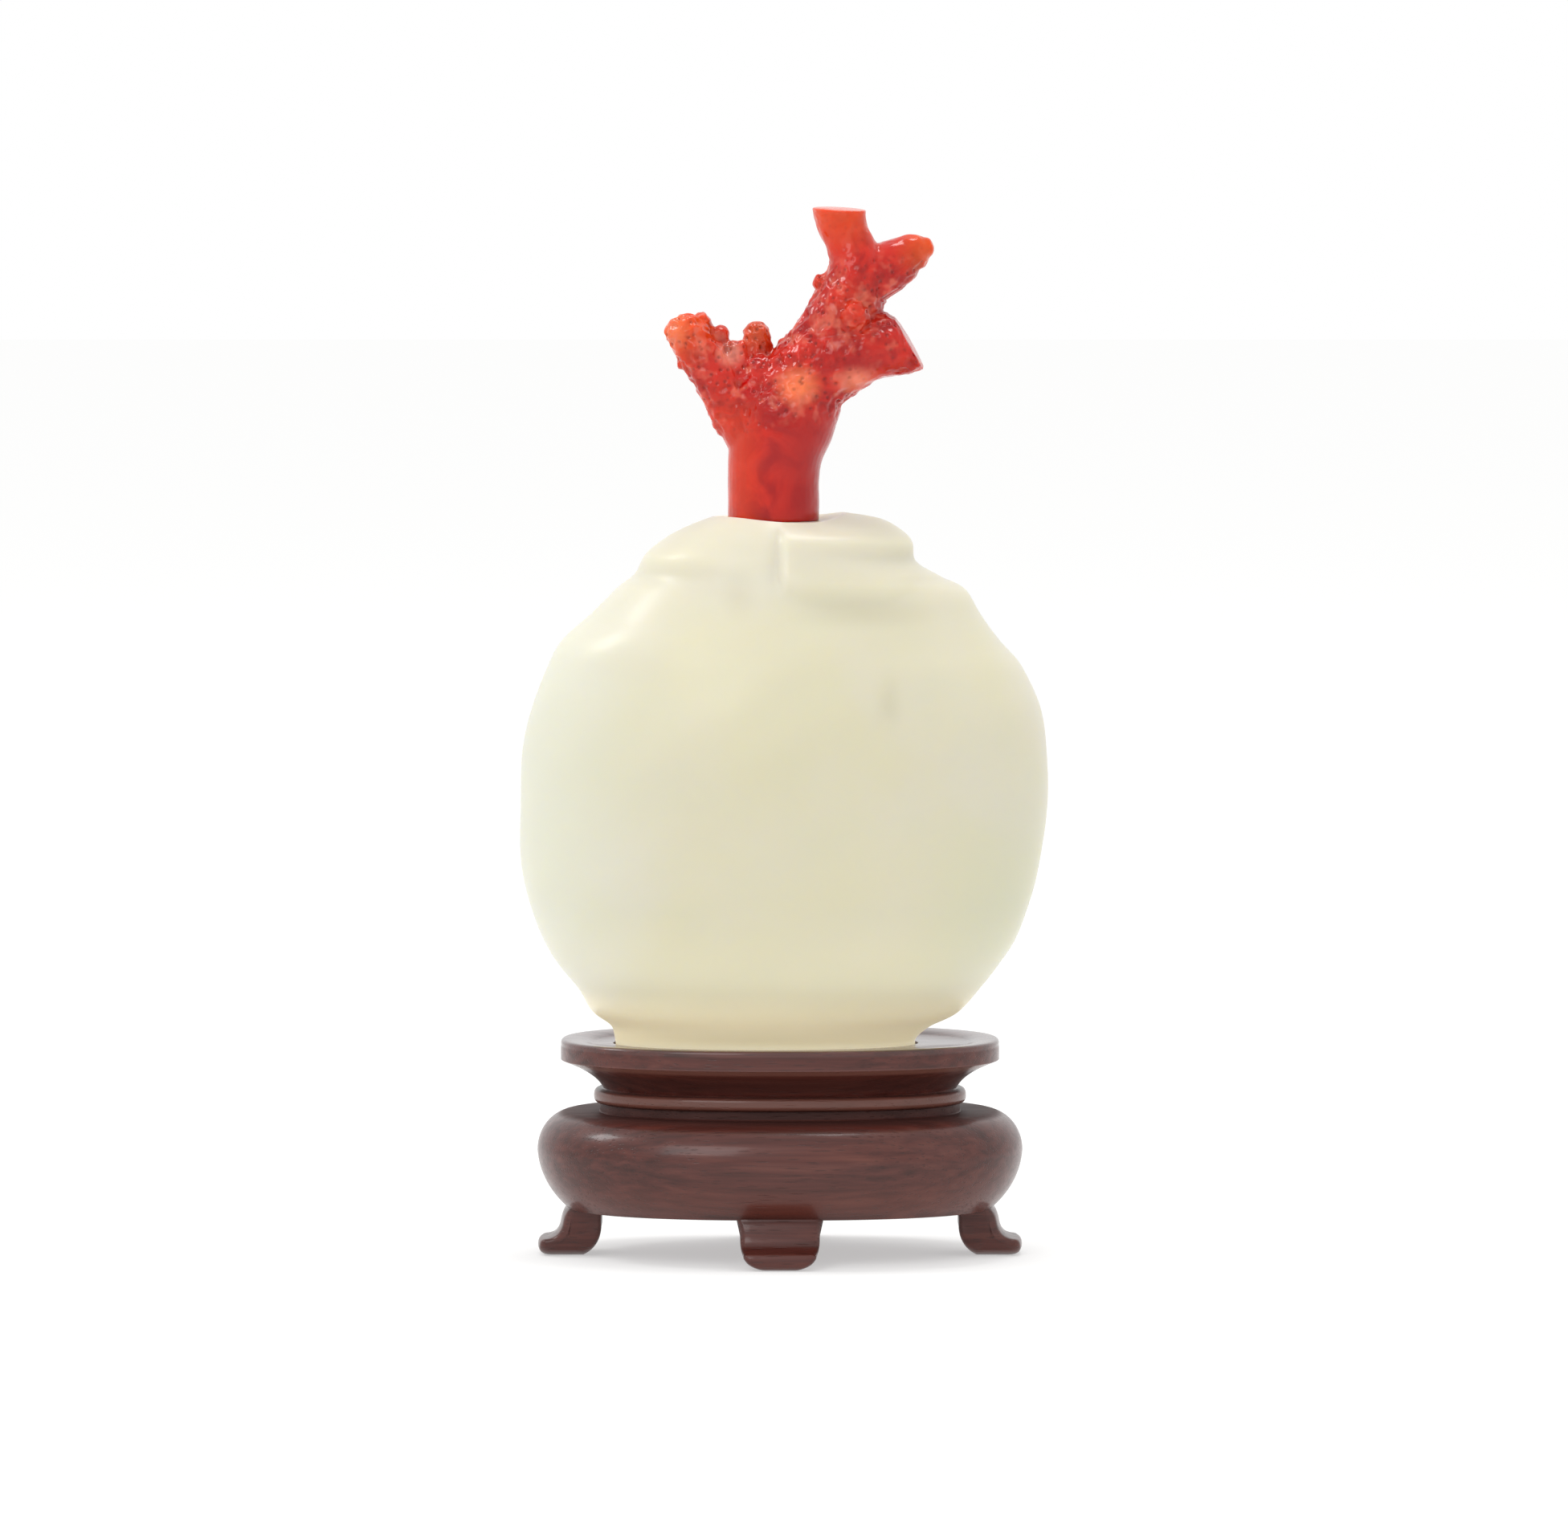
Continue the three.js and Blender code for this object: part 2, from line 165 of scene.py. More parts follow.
def ellipse_arc(
    centre: Flat, radii: Flat, start: float, end: float, steps: int, power: float = 2.0
) -> list[Flat]:
    """Points of an upright superellipse's arc.

    Args:
        centre: Its middle.
        radii: Its reach across and up.
        start: The angle that the arc starts at.
        end: The angle that it ends at.
        steps: How many steps it takes.
        power: 2 is an ellipse, and more is squarer.

    Returns:
        The points, with both ends.
    """
    angles = [lerp(start, end, i / steps) for i in range(steps + 1)]
    return [
        (
            centre[0] + radii[0] * signed_power(math.cos(angle), 2.0 / power),
            centre[1] + radii[1] * signed_power(math.sin(angle), 2.0 / power),
        )
        for angle in angles
    ]


def oval(half_width: float, half_depth: float, power: float, sides: int, centre: float = 0.0) -> np.ndarray:
    """A horizontal superellipse, anticlockwise from above.

    Args:
        half_width: Reach along X.
        half_depth: Reach along Y.
        power: 2 is an ellipse, and more is squarer.
        sides: How many points.
        centre: Its middle along X.

    Returns:
        The points as rows of x and y.
    """
    angle = 2.0 * np.pi * np.arange(sides) / sides
    c, s = np.cos(angle), np.sin(angle)
    x = centre + half_width * np.sign(c) * np.abs(c) ** (2.0 / power)
    y = half_depth * np.sign(s) * np.abs(s) ** (2.0 / power)
    return np.stack([x, y], axis=1)


def mesh_object(name: str, points: np.ndarray, faces: Sequence[Sequence[int]]) -> bpy.types.Object:
    """Makes a smooth mesh object at the origin from points in millimetres.

    Args:
        name: The object's name.
        points: Rows of x, y and z.
        faces: Point numbers of each face.

    Returns:
        The object, linked to the scene.
    """
    mesh = bpy.data.meshes.new(name)
    mesh.from_pydata((np.asarray(points, dtype=float) * MM).tolist(), [], [list(face) for face in faces])
    mesh.update()
    made = bpy.data.objects.new(name, mesh)
    bpy.context.scene.collection.objects.link(made)
    mesh.shade_smooth()
    return made


def loft(rings: Sequence[np.ndarray]) -> tuple[np.ndarray, Faces]:
    """A closed skin through rings of equal length, shut by a fan at each end.

    Args:
        rings: Arrays of points, each ring anticlockwise from its far side.

    Returns:
        The points, and the faces as point numbers.
    """
    sides = len(rings[0])
    points = np.concatenate([*rings, rings[0].mean(axis=0)[None], rings[-1].mean(axis=0)[None]])
    start, end = len(points) - 2, len(points) - 1
    last = (len(rings) - 1) * sides
    faces: Faces = []
    for j in range(sides):
        after = (j + 1) % sides
        faces.append((start, after, j))
        faces.append((last + j, last + after, end))
    for k in range(len(rings) - 1):
        low, high = k * sides, (k + 1) * sides
        faces += [(low + j, low + (j + 1) % sides, high + (j + 1) % sides, high + j) for j in range(sides)]
    return points, faces


def face_outwards(mesh: bpy.types.Mesh, merge: float = 0.0) -> None:
    """Merges a mesh's doubles, then turns its faces outwards.

    Args:
        mesh: The closed mesh to put right.
        merge: Points nearer than this, in metres, become one.
    """
    work = bmesh.new()
    work.from_mesh(mesh)
    if merge > 0.0:
        bmesh.ops.remove_doubles(work, verts=work.verts, dist=merge)
        bmesh.ops.dissolve_degenerate(work, dist=merge, edges=work.edges)
    bmesh.ops.recalc_face_normals(work, faces=work.faces)
    work.to_mesh(mesh)
    work.free()
    mesh.update()


def bake_modifiers(piece: bpy.types.Object) -> None:
    """Turns a piece's live modifiers into its plain mesh.

    Args:
        piece: The object, which keeps its name.
    """
    bpy.context.view_layer.update()
    graph = bpy.context.evaluated_depsgraph_get()
    made = bpy.data.meshes.new_from_object(
        piece.evaluated_get(graph), preserve_all_data_layers=True, depsgraph=graph
    )
    piece.modifiers.clear()
    spent = piece.data
    piece.data = made
    made.name = piece.name
    bpy.data.meshes.remove(spent)


# Node trees


class Value:
    """A node's output that takes part in arithmetic, which adds Math nodes to its tree."""

    def __init__(self, wiring: "Wiring", socket: bpy.types.NodeSocket) -> None:
        """Keeps the tree and the socket."""
        self.wiring = wiring
        self.socket = socket

    def other(self, name: str | int) -> "Value":
        """Another output of the same node."""
        return Value(self.wiring, self.socket.node.outputs[name])

    def math(self, operation: str, first: Any, second: Any = 0.0) -> "Value":
        """One Math node on two values."""
        return self.wiring.node("ShaderNodeMath", {"operation": operation}, {0: first, 1: second})

    def __add__(self, other: Any) -> "Value":
        """Sum."""
        return self.math("ADD", self, other)

    __radd__ = __add__

    def __sub__(self, other: Any) -> "Value":
        """Difference."""
        return self.math("SUBTRACT", self, other)

    def __rsub__(self, other: Any) -> "Value":
        """Difference, with this value taken away."""
        return self.math("SUBTRACT", other, self)

    def __mul__(self, other: Any) -> "Value":
        """Product."""
        return self.math("MULTIPLY", self, other)

    __rmul__ = __mul__

    def __truediv__(self, other: Any) -> "Value":
        """Quotient."""
        return self.math("DIVIDE", self, other)

    def __rtruediv__(self, other: Any) -> "Value":
        """Quotient, with this value below the line."""
        return self.math("DIVIDE", other, self)

    def __pow__(self, other: Any) -> "Value":
        """Power."""
        return self.math("POWER", self, other)

    def __mod__(self, other: Any) -> "Value":
        """Remainder."""
        return self.math("MODULO", self, other)

    def __abs__(self) -> "Value":
        """Size without its sign."""
        return self.math("ABSOLUTE", self)


class Wiring:
    """Adds nodes to a tree and links them."""

    def __init__(self, tree: bpy.types.NodeTree) -> None:
        """Keeps the tree."""
        self.tree = tree

    def node(
        self,
        kind: str,
        settings: dict[str, Any] | None = None,
        inputs: dict[str | int, Any] | None = None,
        output: str | int = 0,
    ) -> Value | None:
        """Adds one node.

        Args:
            kind: The node's type.
            settings: Its own settings, set first. "stops" sets a colour ramp's places and colours.
            inputs: What each input takes, a number, a colour or another node's output.
            output: Which output to give back.

        Returns:
            The chosen output, or None where the node has no outputs.
        """
        made = self.tree.nodes.new(kind)
        for name, setting in (settings or {}).items():
            if name == "stops":
                self._set_stops(made.color_ramp, setting)
            else:
                setattr(made, name, setting)
        for name, given in (inputs or {}).items():
            if isinstance(given, Value):
                self.tree.links.new(given.socket, made.inputs[name])
            else:
                made.inputs[name].default_value = given
        return Value(self, made.outputs[output]) if made.outputs else None

    @staticmethod
    def _set_stops(ramp: bpy.types.ColorRamp, stops: Sequence[tuple[float, Colour]]) -> None:
        """Gives a colour ramp its places and colours."""
        while len(ramp.elements) < len(stops):
            ramp.elements.new(1.0)
        for element, (place, colour) in zip(ramp.elements, stops):
            element.position = place
            element.color = colour


class Pattern(Wiring):
    """The shader tree of one material, with the patterns that the finishes share."""

    def __init__(self, name: str) -> None:
        """Starts an empty material."""
        self.material = bpy.data.materials.new(name)
        self.material.use_nodes = True
        super().__init__(self.material.node_tree)
        self.tree.nodes.clear()
        self.place = self.node("ShaderNodeTexCoord", output="Object")

    def stretched(self, scale: Point, tilt: float = 0.0) -> Value:
        """The object's own coordinates, stretched along each axis and tilted about Y by some radians."""
        return self.node(
            "ShaderNodeMapping",
            {"vector_type": "POINT"},
            {"Vector": self.place, "Rotation": (0.0, tilt, 0.0), "Scale": scale},
        )

    def cloud(
        self, scale: float, detail: float = 3.0, twist: float = 0.0, place: Value | None = None
    ) -> Value:
        """Soft noise.

        Args:
            scale: Its cycles per metre.
            detail: How many finer layers it has.
            twist: How far it is distorted.
            place: Coordinates other than the object's own.

        Returns:
            The noise, from 0 to 1.
        """
        inputs = {"Vector": place or self.place, "Scale": scale, "Detail": detail}
        inputs.update({"Roughness": 0.55, "Distortion": twist})
        return self.node("ShaderNodeTexNoise", {"noise_dimensions": "3D"}, inputs)

    def cells(self, scale: float, place: Value | None = None) -> Value:
        """Distance to the nearest of a scatter of points.

        Args:
            scale: Points per metre.
            place: Coordinates other than the object's own.

        Returns:
            The distance, smooth at its lowest.
        """
        inputs = {"Vector": place or self.place, "Scale": scale, "Randomness": 1.0}
        return self.node("ShaderNodeTexVoronoi", {"feature": "F1"}, inputs, "Distance")

    def step(self, value: Value, low: float, high: float, bottom: float = 0.0, top: float = 1.0) -> Value:
        """Goes smoothly from bottom to top as a value goes from low to high."""
        return self.node(
            "ShaderNodeMapRange",
            {"interpolation_type": "SMOOTHSTEP", "clamp": True},
            {"Value": value, "From Min": low, "From Max": high, "To Min": bottom, "To Max": top},
        )

    def rise(self, place: Value, start: float, full: float) -> Value:
        """Goes smoothly from 0 to 1 between two places, given in millimetres."""
        return self.step(place, start * MM, full * MM)

    def spot(self, centre: Point, radii: Point, hard: float = 0.0) -> Value:
        """1 in the middle of a soft ellipsoid and 0 outside it.

        Args:
            centre: Its middle, in millimetres.
            radii: Its reach along each axis, in millimetres.
            hard: The share of the reach that stays at 1.

        Returns:
            The mask.
        """
        offset = self.node(
            "ShaderNodeVectorMath",
            {"operation": "SUBTRACT"},
            {0: self.place, 1: tuple(c * MM for c in centre)},
        )
        shrunk = self.node(
            "ShaderNodeVectorMath",
            {"operation": "DIVIDE"},
            {0: offset, 1: tuple(r * MM for r in radii)},
        )
        far = self.node("ShaderNodeVectorMath", {"operation": "LENGTH"}, {0: shrunk}, "Value")
        return self.step(far, hard, 1.0, 1.0, 0.0)

    def axis(self, name: str) -> Value:
        """The place along one axis, in metres."""
        return self.node("ShaderNodeSeparateXYZ", {}, {"Vector": self.place}, name)

    def mix(self, factor: Any, first: Any, second: Any) -> Value:
        """Mixes two colours."""
        settings = {"data_type": "RGBA", "blend_type": "MIX", "clamp_result": True}
        return self.node("ShaderNodeMix", settings, {0: factor, 6: first, 7: second}, 2)

    def bump(self, height: Value, depth: float, strength: float = 1.0, under: Value | None = None) -> Value:
        """A normal from a height of 0 to 1 that stands for depth millimetres."""
        inputs: dict[str | int, Any] = {"Height": height, "Distance": depth * MM, "Strength": strength}
        if under is not None:
            inputs["Normal"] = under
        return self.node("ShaderNodeBump", {}, inputs, "Normal")

    def surface(self, inputs: dict[str | int, Any]) -> bpy.types.Material:
        """Ends the material in a Principled shader with these inputs."""
        settings = {"subsurface_method": "RANDOM_WALK"}
        shader = self.node("ShaderNodeBsdfPrincipled", settings, inputs, "BSDF")
        self.node("ShaderNodeOutputMaterial", {}, {"Surface": shader})
        return self.material


class SizedTree(Wiring):
    """A Geometry Nodes tree with named inputs, run once to make a plain mesh."""

    def __init__(self, name: str, sizes: dict[str, tuple[str, Any]]) -> None:
        """Starts a tree.

        Args:
            name: The tree's name.
            sizes: For each named input, its socket type and the value it is given.
        """
        super().__init__(bpy.data.node_groups.new(name, "GeometryNodeTree"))
        self.tree.interface.new_socket("Geometry", in_out="OUTPUT", socket_type="NodeSocketGeometry")
        self.given: dict[str, Any] = {}
        for label, (kind, value) in sizes.items():
            socket = self.tree.interface.new_socket(label, in_out="INPUT", socket_type=kind)
            self.given[socket.identifier] = value
        self._entry = self.tree.nodes.new("NodeGroupInput")

    def size(self, label: str) -> Value:
        """One of the named inputs."""
        return Value(self, self._entry.outputs[label])

    def shape_of(self, label: str) -> Value:
        """The geometry of the object that a named input gives."""
        settings = {"transform_space": "ORIGINAL"}
        return self.node("GeometryNodeObjectInfo", settings, {"Object": self.size(label)}, "Geometry")

    def stored(self, name: str) -> Value:
        """A number stored on the geometry under a name."""
        return self.node("GeometryNodeInputNamedAttribute", {"data_type": "FLOAT"}, {"Name": name})

    def parts(self, vector: Value) -> Value:
        """A vector's X, whose node also has its Y and Z."""
        return self.node("ShaderNodeSeparateXYZ", {}, {0: vector}, "X")

    def joined(self, x: Value, y: Value, z: Value) -> Value:
        """A vector from its three parts."""
        return self.node("ShaderNodeCombineXYZ", {}, {"X": x, "Y": y, "Z": z})

    def close(self, shape: Value, finish: str) -> None:
        """Ends the tree in Realize Instances and Set Material."""
        real = self.node("GeometryNodeRealizeInstances", {}, {"Geometry": shape})
        dressing = {"Geometry": real, "Material": self.size(finish)}
        dressed = self.node("GeometryNodeSetMaterial", {}, dressing)
        self.node("NodeGroupOutput", {}, {"Geometry": dressed})

    def make(self, name: str) -> bpy.types.Object:
        """Runs the tree and keeps its result as a plain mesh.

        Args:
            name: The new object's name.

        Returns:
            The object, at the origin and with no modifier.
        """
        made = bpy.data.objects.new(name, bpy.data.meshes.new(name))
        bpy.context.scene.collection.objects.link(made)
        modifier = made.modifiers.new("Sizes", "NODES")
        modifier.node_group = self.tree
        for identifier, value in self.given.items():
            modifier[identifier] = value
        bake_modifiers(made)
        return made


# Finishes


@dataclass(frozen=True)
class Patch:
    """A soft coloured patch of a finish.

    Its middle and its reach are in millimetres, and its colour is as seen on a screen. It covers what is
    below it by a share, and a share of its reach is hard.
    """

    centre: Point
    radii: Point
    screen: Point
    cover: float = 1.0
    hard: float = 0.0

    def mask(self, p: Pattern) -> Value:
        """How far the patch covers each place."""
        return p.spot(self.centre, self.radii, self.hard) * self.cover

    def over(self, p: Pattern, colour: Value, gain: float) -> Value:
        """A colour with the patch laid over it."""
        return p.mix(self.mask(p), colour, tone(*self.screen, gain))


@dataclass(frozen=True)
class Band:
    """A stretch of height with soft edges, each given by where it starts and ends, in millimetres."""

    low: Flat
    high: Flat

    def mask(self, p: Pattern, height: Value) -> Value:
        """1 inside the band and 0 outside it."""
        last, end = self.high
        return p.rise(height, *self.low) * p.rise(height, end, last)


@dataclass(frozen=True)
class JadeFinish:
    """Pale nephrite: cream, clouded with milky and greenish patches, with a waxy polish.

    Colours are as seen on a screen. Each span is where a change starts and where it is full, in millimetres.
    The stone has a painted glow near its foot, standing in for the light that it carries down there. Light
    and shade are painted on it too: paler on the left, the stand reflected near the foot, and shade under
    the lobes.
    """

    gain: float = 0.78
    roughness: float = 0.34
    depth: float = 3.2
    cream: Point = (231, 226, 197)
    milky: Point = (232, 227, 208)
    lit_left: Point = (231, 232, 216)
    green: Point = (217, 221, 197)
    stand_reflection: Point = (228, 216, 182)
    carried_light: Point = (218, 207, 172)
    lit_left_span: Flat = (-8.0, -25.5)
    top_span: Flat = (56.0, 72.0)
    reflection_span: Flat = (29.0, 21.5)
    low_glow_span: Flat = (36.0, 26.0)
    foot_glow_span: Flat = (27.5, 22.2)
    right_patch: Patch = Patch((21.0, -4.0, 34.0), (12.0, 18.0, 22.0), (217, 221, 197), 0.5)
    inclusion: Patch = Patch((10.6, -12.0, 55.6), (2.0, 6.0, 4.6), (196, 190, 152), 0.28)
    shade_under_right_lobe: Patch = Patch((8.5, -9.5, 64.6), (9.5, 7.0, 2.1), (202, 194, 164), 0.32)
    shade_under_left_lobe: Patch = Patch((-4.0, -9.0, 66.4), (2.6, 7.0, 3.6), (202, 194, 164), 0.22)

    def material(self) -> bpy.types.Material:
        """Builds the material.

        Returns:
            The jade.
        """
        p = Pattern("jade")
        height = p.axis("Z")
        mottle = p.cloud(150.0, 3.0, 0.2)
        clouds = p.step(p.cloud(48.0, 2.0, 0.4), 0.4, 0.66)
        milky, green = tone(*self.milky, self.gain), tone(*self.green, self.gain)
        colour = p.mix(clouds * 0.8, tone(*self.cream, self.gain), milky)
        colour = p.mix(p.step(mottle, 0.45, 0.75) * 0.12, colour, green)
        # Painted light: the left side is painted paler, where the light falls from the left.
        colour = p.mix(p.rise(p.axis("X"), *self.lit_left_span) * 0.8, colour, tone(*self.lit_left, self.gain))
        colour = self.right_patch.over(p, colour, self.gain)
        colour = p.mix(p.rise(height, *self.top_span) * 0.45, colour, milky)
        # Painted reflection: warmer towards the foot, for the wood of the stand reflected in it.
        colour = p.mix(p.rise(height, *self.reflection_span), colour, tone(*self.stand_reflection, self.gain))

        speckled = self.inclusion.mask(p) * p.step(mottle, 0.25, 0.6)
        colour = p.mix(speckled, colour, tone(*self.inclusion.screen, self.gain))
        # Painted shade under the lower edges of the two lobes of the collar.
        under = self.shade_under_right_lobe.mask(p) + self.shade_under_left_lobe.mask(p)
        colour = p.mix(under, colour, tone(*self.shade_under_right_lobe.screen, self.gain))
        # Painted glow: the lower body and the foot give off light, for the light carried down through the
        # stone.
        glow = p.rise(height, *self.low_glow_span) * 0.12 + p.rise(height, *self.foot_glow_span) * 0.5
        rough = p.step(p.cloud(140.0, 3.0), 0.2, 0.8, self.roughness - 0.03, self.roughness + 0.05)
        return p.surface(
            {
                "Base Color": colour,
                "Roughness": rough,
                "IOR": 1.55,
                "Specular IOR Level": 0.32,
                "Subsurface Weight": 1.0,
                "Subsurface Radius": (1.0, 0.85, 0.5),
                "Subsurface Scale": self.depth * MM,
                "Coat Weight": 0.06,
                "Coat Roughness": 0.14,
                "Emission Color": p.mix(glow, BLACK, tone(*self.carried_light)),
                "Emission Strength": 1.0,
                "Normal": p.bump(p.cloud(85.0, 1.5), 0.25, 0.3),
            }
        )


@dataclass(frozen=True)
class CoralFinish:
    """Red coral: deep red in the thick parts, orange at the thin tips, glossy and pitted.

    Colours are as seen on a screen. Each span is where a change starts and where it is full, in millimetres.
    """

    gain: float = 0.8
    roughness: float = 0.2
    depth: float = 0.7
    red: Point = (212, 40, 24)
    deep: Point = (176, 18, 16)
    lit_red: Point = (228, 66, 26)
    orange: Point = (242, 84, 18)
    sheen_pink: Point = (240, 124, 98)
    dark: Point = (118, 8, 8)
    stem_span: Flat = (89.0, 81.0)
    shaded_stem_span: Flat = (-1.5, 2.8)
    lit_stem_span: Flat = (-0.8, -4.2)
    spots_and_highlights: tuple[Patch, ...] = (
        # A painted highlight: the bright orange spot on the front of the trunk.
        Patch((1.8, -3.5, 86.9), (2.9, 5.0, 2.7), (255, 128, 78), 1.0, 0.2),
        # A painted highlight: the pale speck in the crotch to the right.
        Patch((7.6, -3.5, 87.4), (3.0, 4.0, 1.9), (255, 142, 112), 0.95),
        Patch((-3.5, -3.0, 86.8), (1.9, 5.0, 1.8), (198, 8, 4), 0.95, 0.3),
        Patch((-4.9, -2.5, 90.3), (2.0, 4.0, 2.2), (252, 166, 142), 0.95),
    )
    tip_patches: tuple[Patch, ...] = (
        Patch((13.2, 0.6, 99.8), (3.0, 4.0, 3.0), (206, 84, 14), 0.75),
        Patch((-2.4, 0.8, 92.0), (1.7, 3.0, 3.0), (190, 84, 34), 0.7),
        Patch((-10.2, -0.6, 92.2), (1.9, 4.0, 2.4), (253, 152, 100), 0.9),
    )

    def material(self) -> bpy.types.Material:
        """Builds the material from noise and from what the carving stored on the mesh.

        Returns:
            The coral.
        """
        p = Pattern("coral")
        tip, rough, hollow = (
            p.node("ShaderNodeAttribute", {"attribute_name": name}, {}, "Fac") for name in TWIG_MASKS
        )
        fine = p.cloud(520.0, 2.0)
        pore = p.step(p.cells(800.0), 0.34, 0.1) * rough
        stem = p.rise(p.axis("Z"), *self.stem_span)
        across = p.axis("X")

        clouds = p.step(p.cloud(260.0, 3.0, 0.8), 0.38, 0.66)
        deep = tone(*self.deep, self.gain)
        colour = p.mix(clouds, tone(*self.red, self.gain), deep)
        # Painted light and shade on the stem: darker on its right side, lighter on its left, where the light
        # falls.
        colour = p.mix(p.rise(across, *self.shaded_stem_span) * stem * 0.75, colour, deep)
        lit_red = tone(*self.lit_red, self.gain)
        colour = p.mix(p.rise(across, *self.lit_stem_span) * stem * 0.6, colour, lit_red)
        # Spots of the coral's own colour, and painted highlights.
        for patch in self.spots_and_highlights:
            colour = patch.over(p, colour, self.gain)
        colour = p.mix(tip * 0.9, colour, tone(*self.orange, self.gain))
        for patch in self.tip_patches:
            colour = patch.over(p, colour, self.gain)
        # Painted highlights: pink speckles on the rough coral.
        colour = p.mix(rough * p.step(fine, 0.5, 0.68) * 0.55, colour, tone(*self.sheen_pink, self.gain))
        # Painted shade in the pits and sunken hollows, with the coral's own dark pores and flecks.
        hollow_shade_and_flecks = hollow * 0.5 + pore * 0.05 + rough * p.step(fine, 0.42, 0.28) * 0.4
        colour = p.mix(hollow_shade_and_flecks, colour, tone(*self.dark, self.gain))

        grain = p.bump(p.cloud(430.0, 2.0), 0.34, 0.45)
        return p.surface(
            {
                "Base Color": colour,
                "Roughness": p.step(fine, 0.3, 0.75, self.roughness - 0.05, self.roughness + 0.05),
                "IOR": 1.5,
                "Specular IOR Level": 0.24,
                "Subsurface Weight": 0.5,
                "Subsurface Radius": (1.0, 0.25, 0.1),
                "Subsurface Scale": self.depth * MM,
                "Coat Weight": 0.18,
                "Coat Roughness": 0.05,
                "Normal": p.bump(1.0 - pore, 0.09, 0.4, grain),
            }
        )


@dataclass(frozen=True)
class HardwoodFinish:
    """Dark reddish-brown hardwood, with fine streaks along its length and a soft wax polish.

    Colours are as seen on a screen. Bands and spans are heights in millimetres. The hollows between the
    mouldings are painted darker as shade, and are duller; the bead and the lip's lower edge carry a painted
    highlight, and the lower drum is painted lighter for the light that the floor throws up.
    """

    gain: float = 0.655
    roughness: float = 0.31
    dark: Point = (60, 22, 14)
    mid: Point = (96, 45, 37)
    light: Point = (120, 66, 54)
    moulding_highlight: Point = (150, 98, 84)
    groove: Band = Band((13.9, 14.3), (15.1, 15.4))
    flare: Band = Band((16.7, 17.3), (18.2, 19.0))
    bead: Band = Band((15.2, 15.6), (16.3, 16.8))
    lip_edge: Band = Band((18.9, 19.2), (19.4, 19.8))
    floor_bounce_band: Band = Band((4.5, 6.0), (6.0, 9.5))
    dish_span: Flat = (20.9, 21.1)

    def material(self) -> bpy.types.Material:
        """Builds the material.

        Returns:
            The hardwood.
        """
        p = Pattern("hardwood")
        dark, light = tone(*self.dark, self.gain), tone(*self.light, self.gain)
        broad = p.cloud(1.0, 3.0, 0.3, p.stretched((26.0, 180.0, 240.0)))
        streaks = p.cloud(1.0, 6.0, 0.3, p.stretched((45.0, 900.0, 1500.0), 0.02))
        pore = p.step(p.cells(1.0, p.stretched((340.0, 3600.0, 3600.0), 0.015)), 0.34, 0.12)
        figure = broad * 0.35 + streaks * 0.65
        stops = [(0.31, dark), (0.52, tone(*self.mid, self.gain)), (0.74, light)]
        colour = p.node("ShaderNodeValToRGB", {"stops": stops}, {"Fac": figure}, "Color")
        colour = p.mix(pore * 0.5, colour, dark)

        height = p.axis("Z")
        shaded = self.groove.mask(p, height) + self.flare.mask(p, height)
        moulding_highlight = self.bead.mask(p, height) * 0.55 + self.lip_edge.mask(p, height) * 0.65
        dish = p.rise(height, *self.dish_span)
        # Painted light: the lower drum lighter, for the light that the floor throws up.
        colour = p.mix(self.floor_bounce_band.mask(p, height) * 0.35, colour, light)
        # Painted highlight along the bead and the lip's lower edge.
        colour = p.mix(moulding_highlight, colour, tone(*self.moulding_highlight, self.gain))
        # Painted shade: the groove under the bead and the flare under the lip darker.
        colour = p.mix(shaded * 0.5, colour, dark)
        rough = p.step(figure, 0.35, 0.7, self.roughness + 0.04, self.roughness - 0.025)

        wave = p.bump(p.cloud(1.0, 2.0, 0.0, p.stretched((50.0, 200.0, 200.0))), 0.16, 0.3)
        grain = p.bump(streaks, 0.04, 0.4, wave)
        return p.surface(
            {
                "Base Color": colour,
                "Roughness": rough + shaded * 0.25,
                "IOR": 1.5,
                "Specular IOR Level": 0.32,
                "Coat Weight": dish * 0.45 - shaded * 0.25 + 0.27,
                "Coat Roughness": 0.12,
                "Normal": p.bump(1.0 - pore, 0.05, 0.5, grain),
            }
        )


# The stand


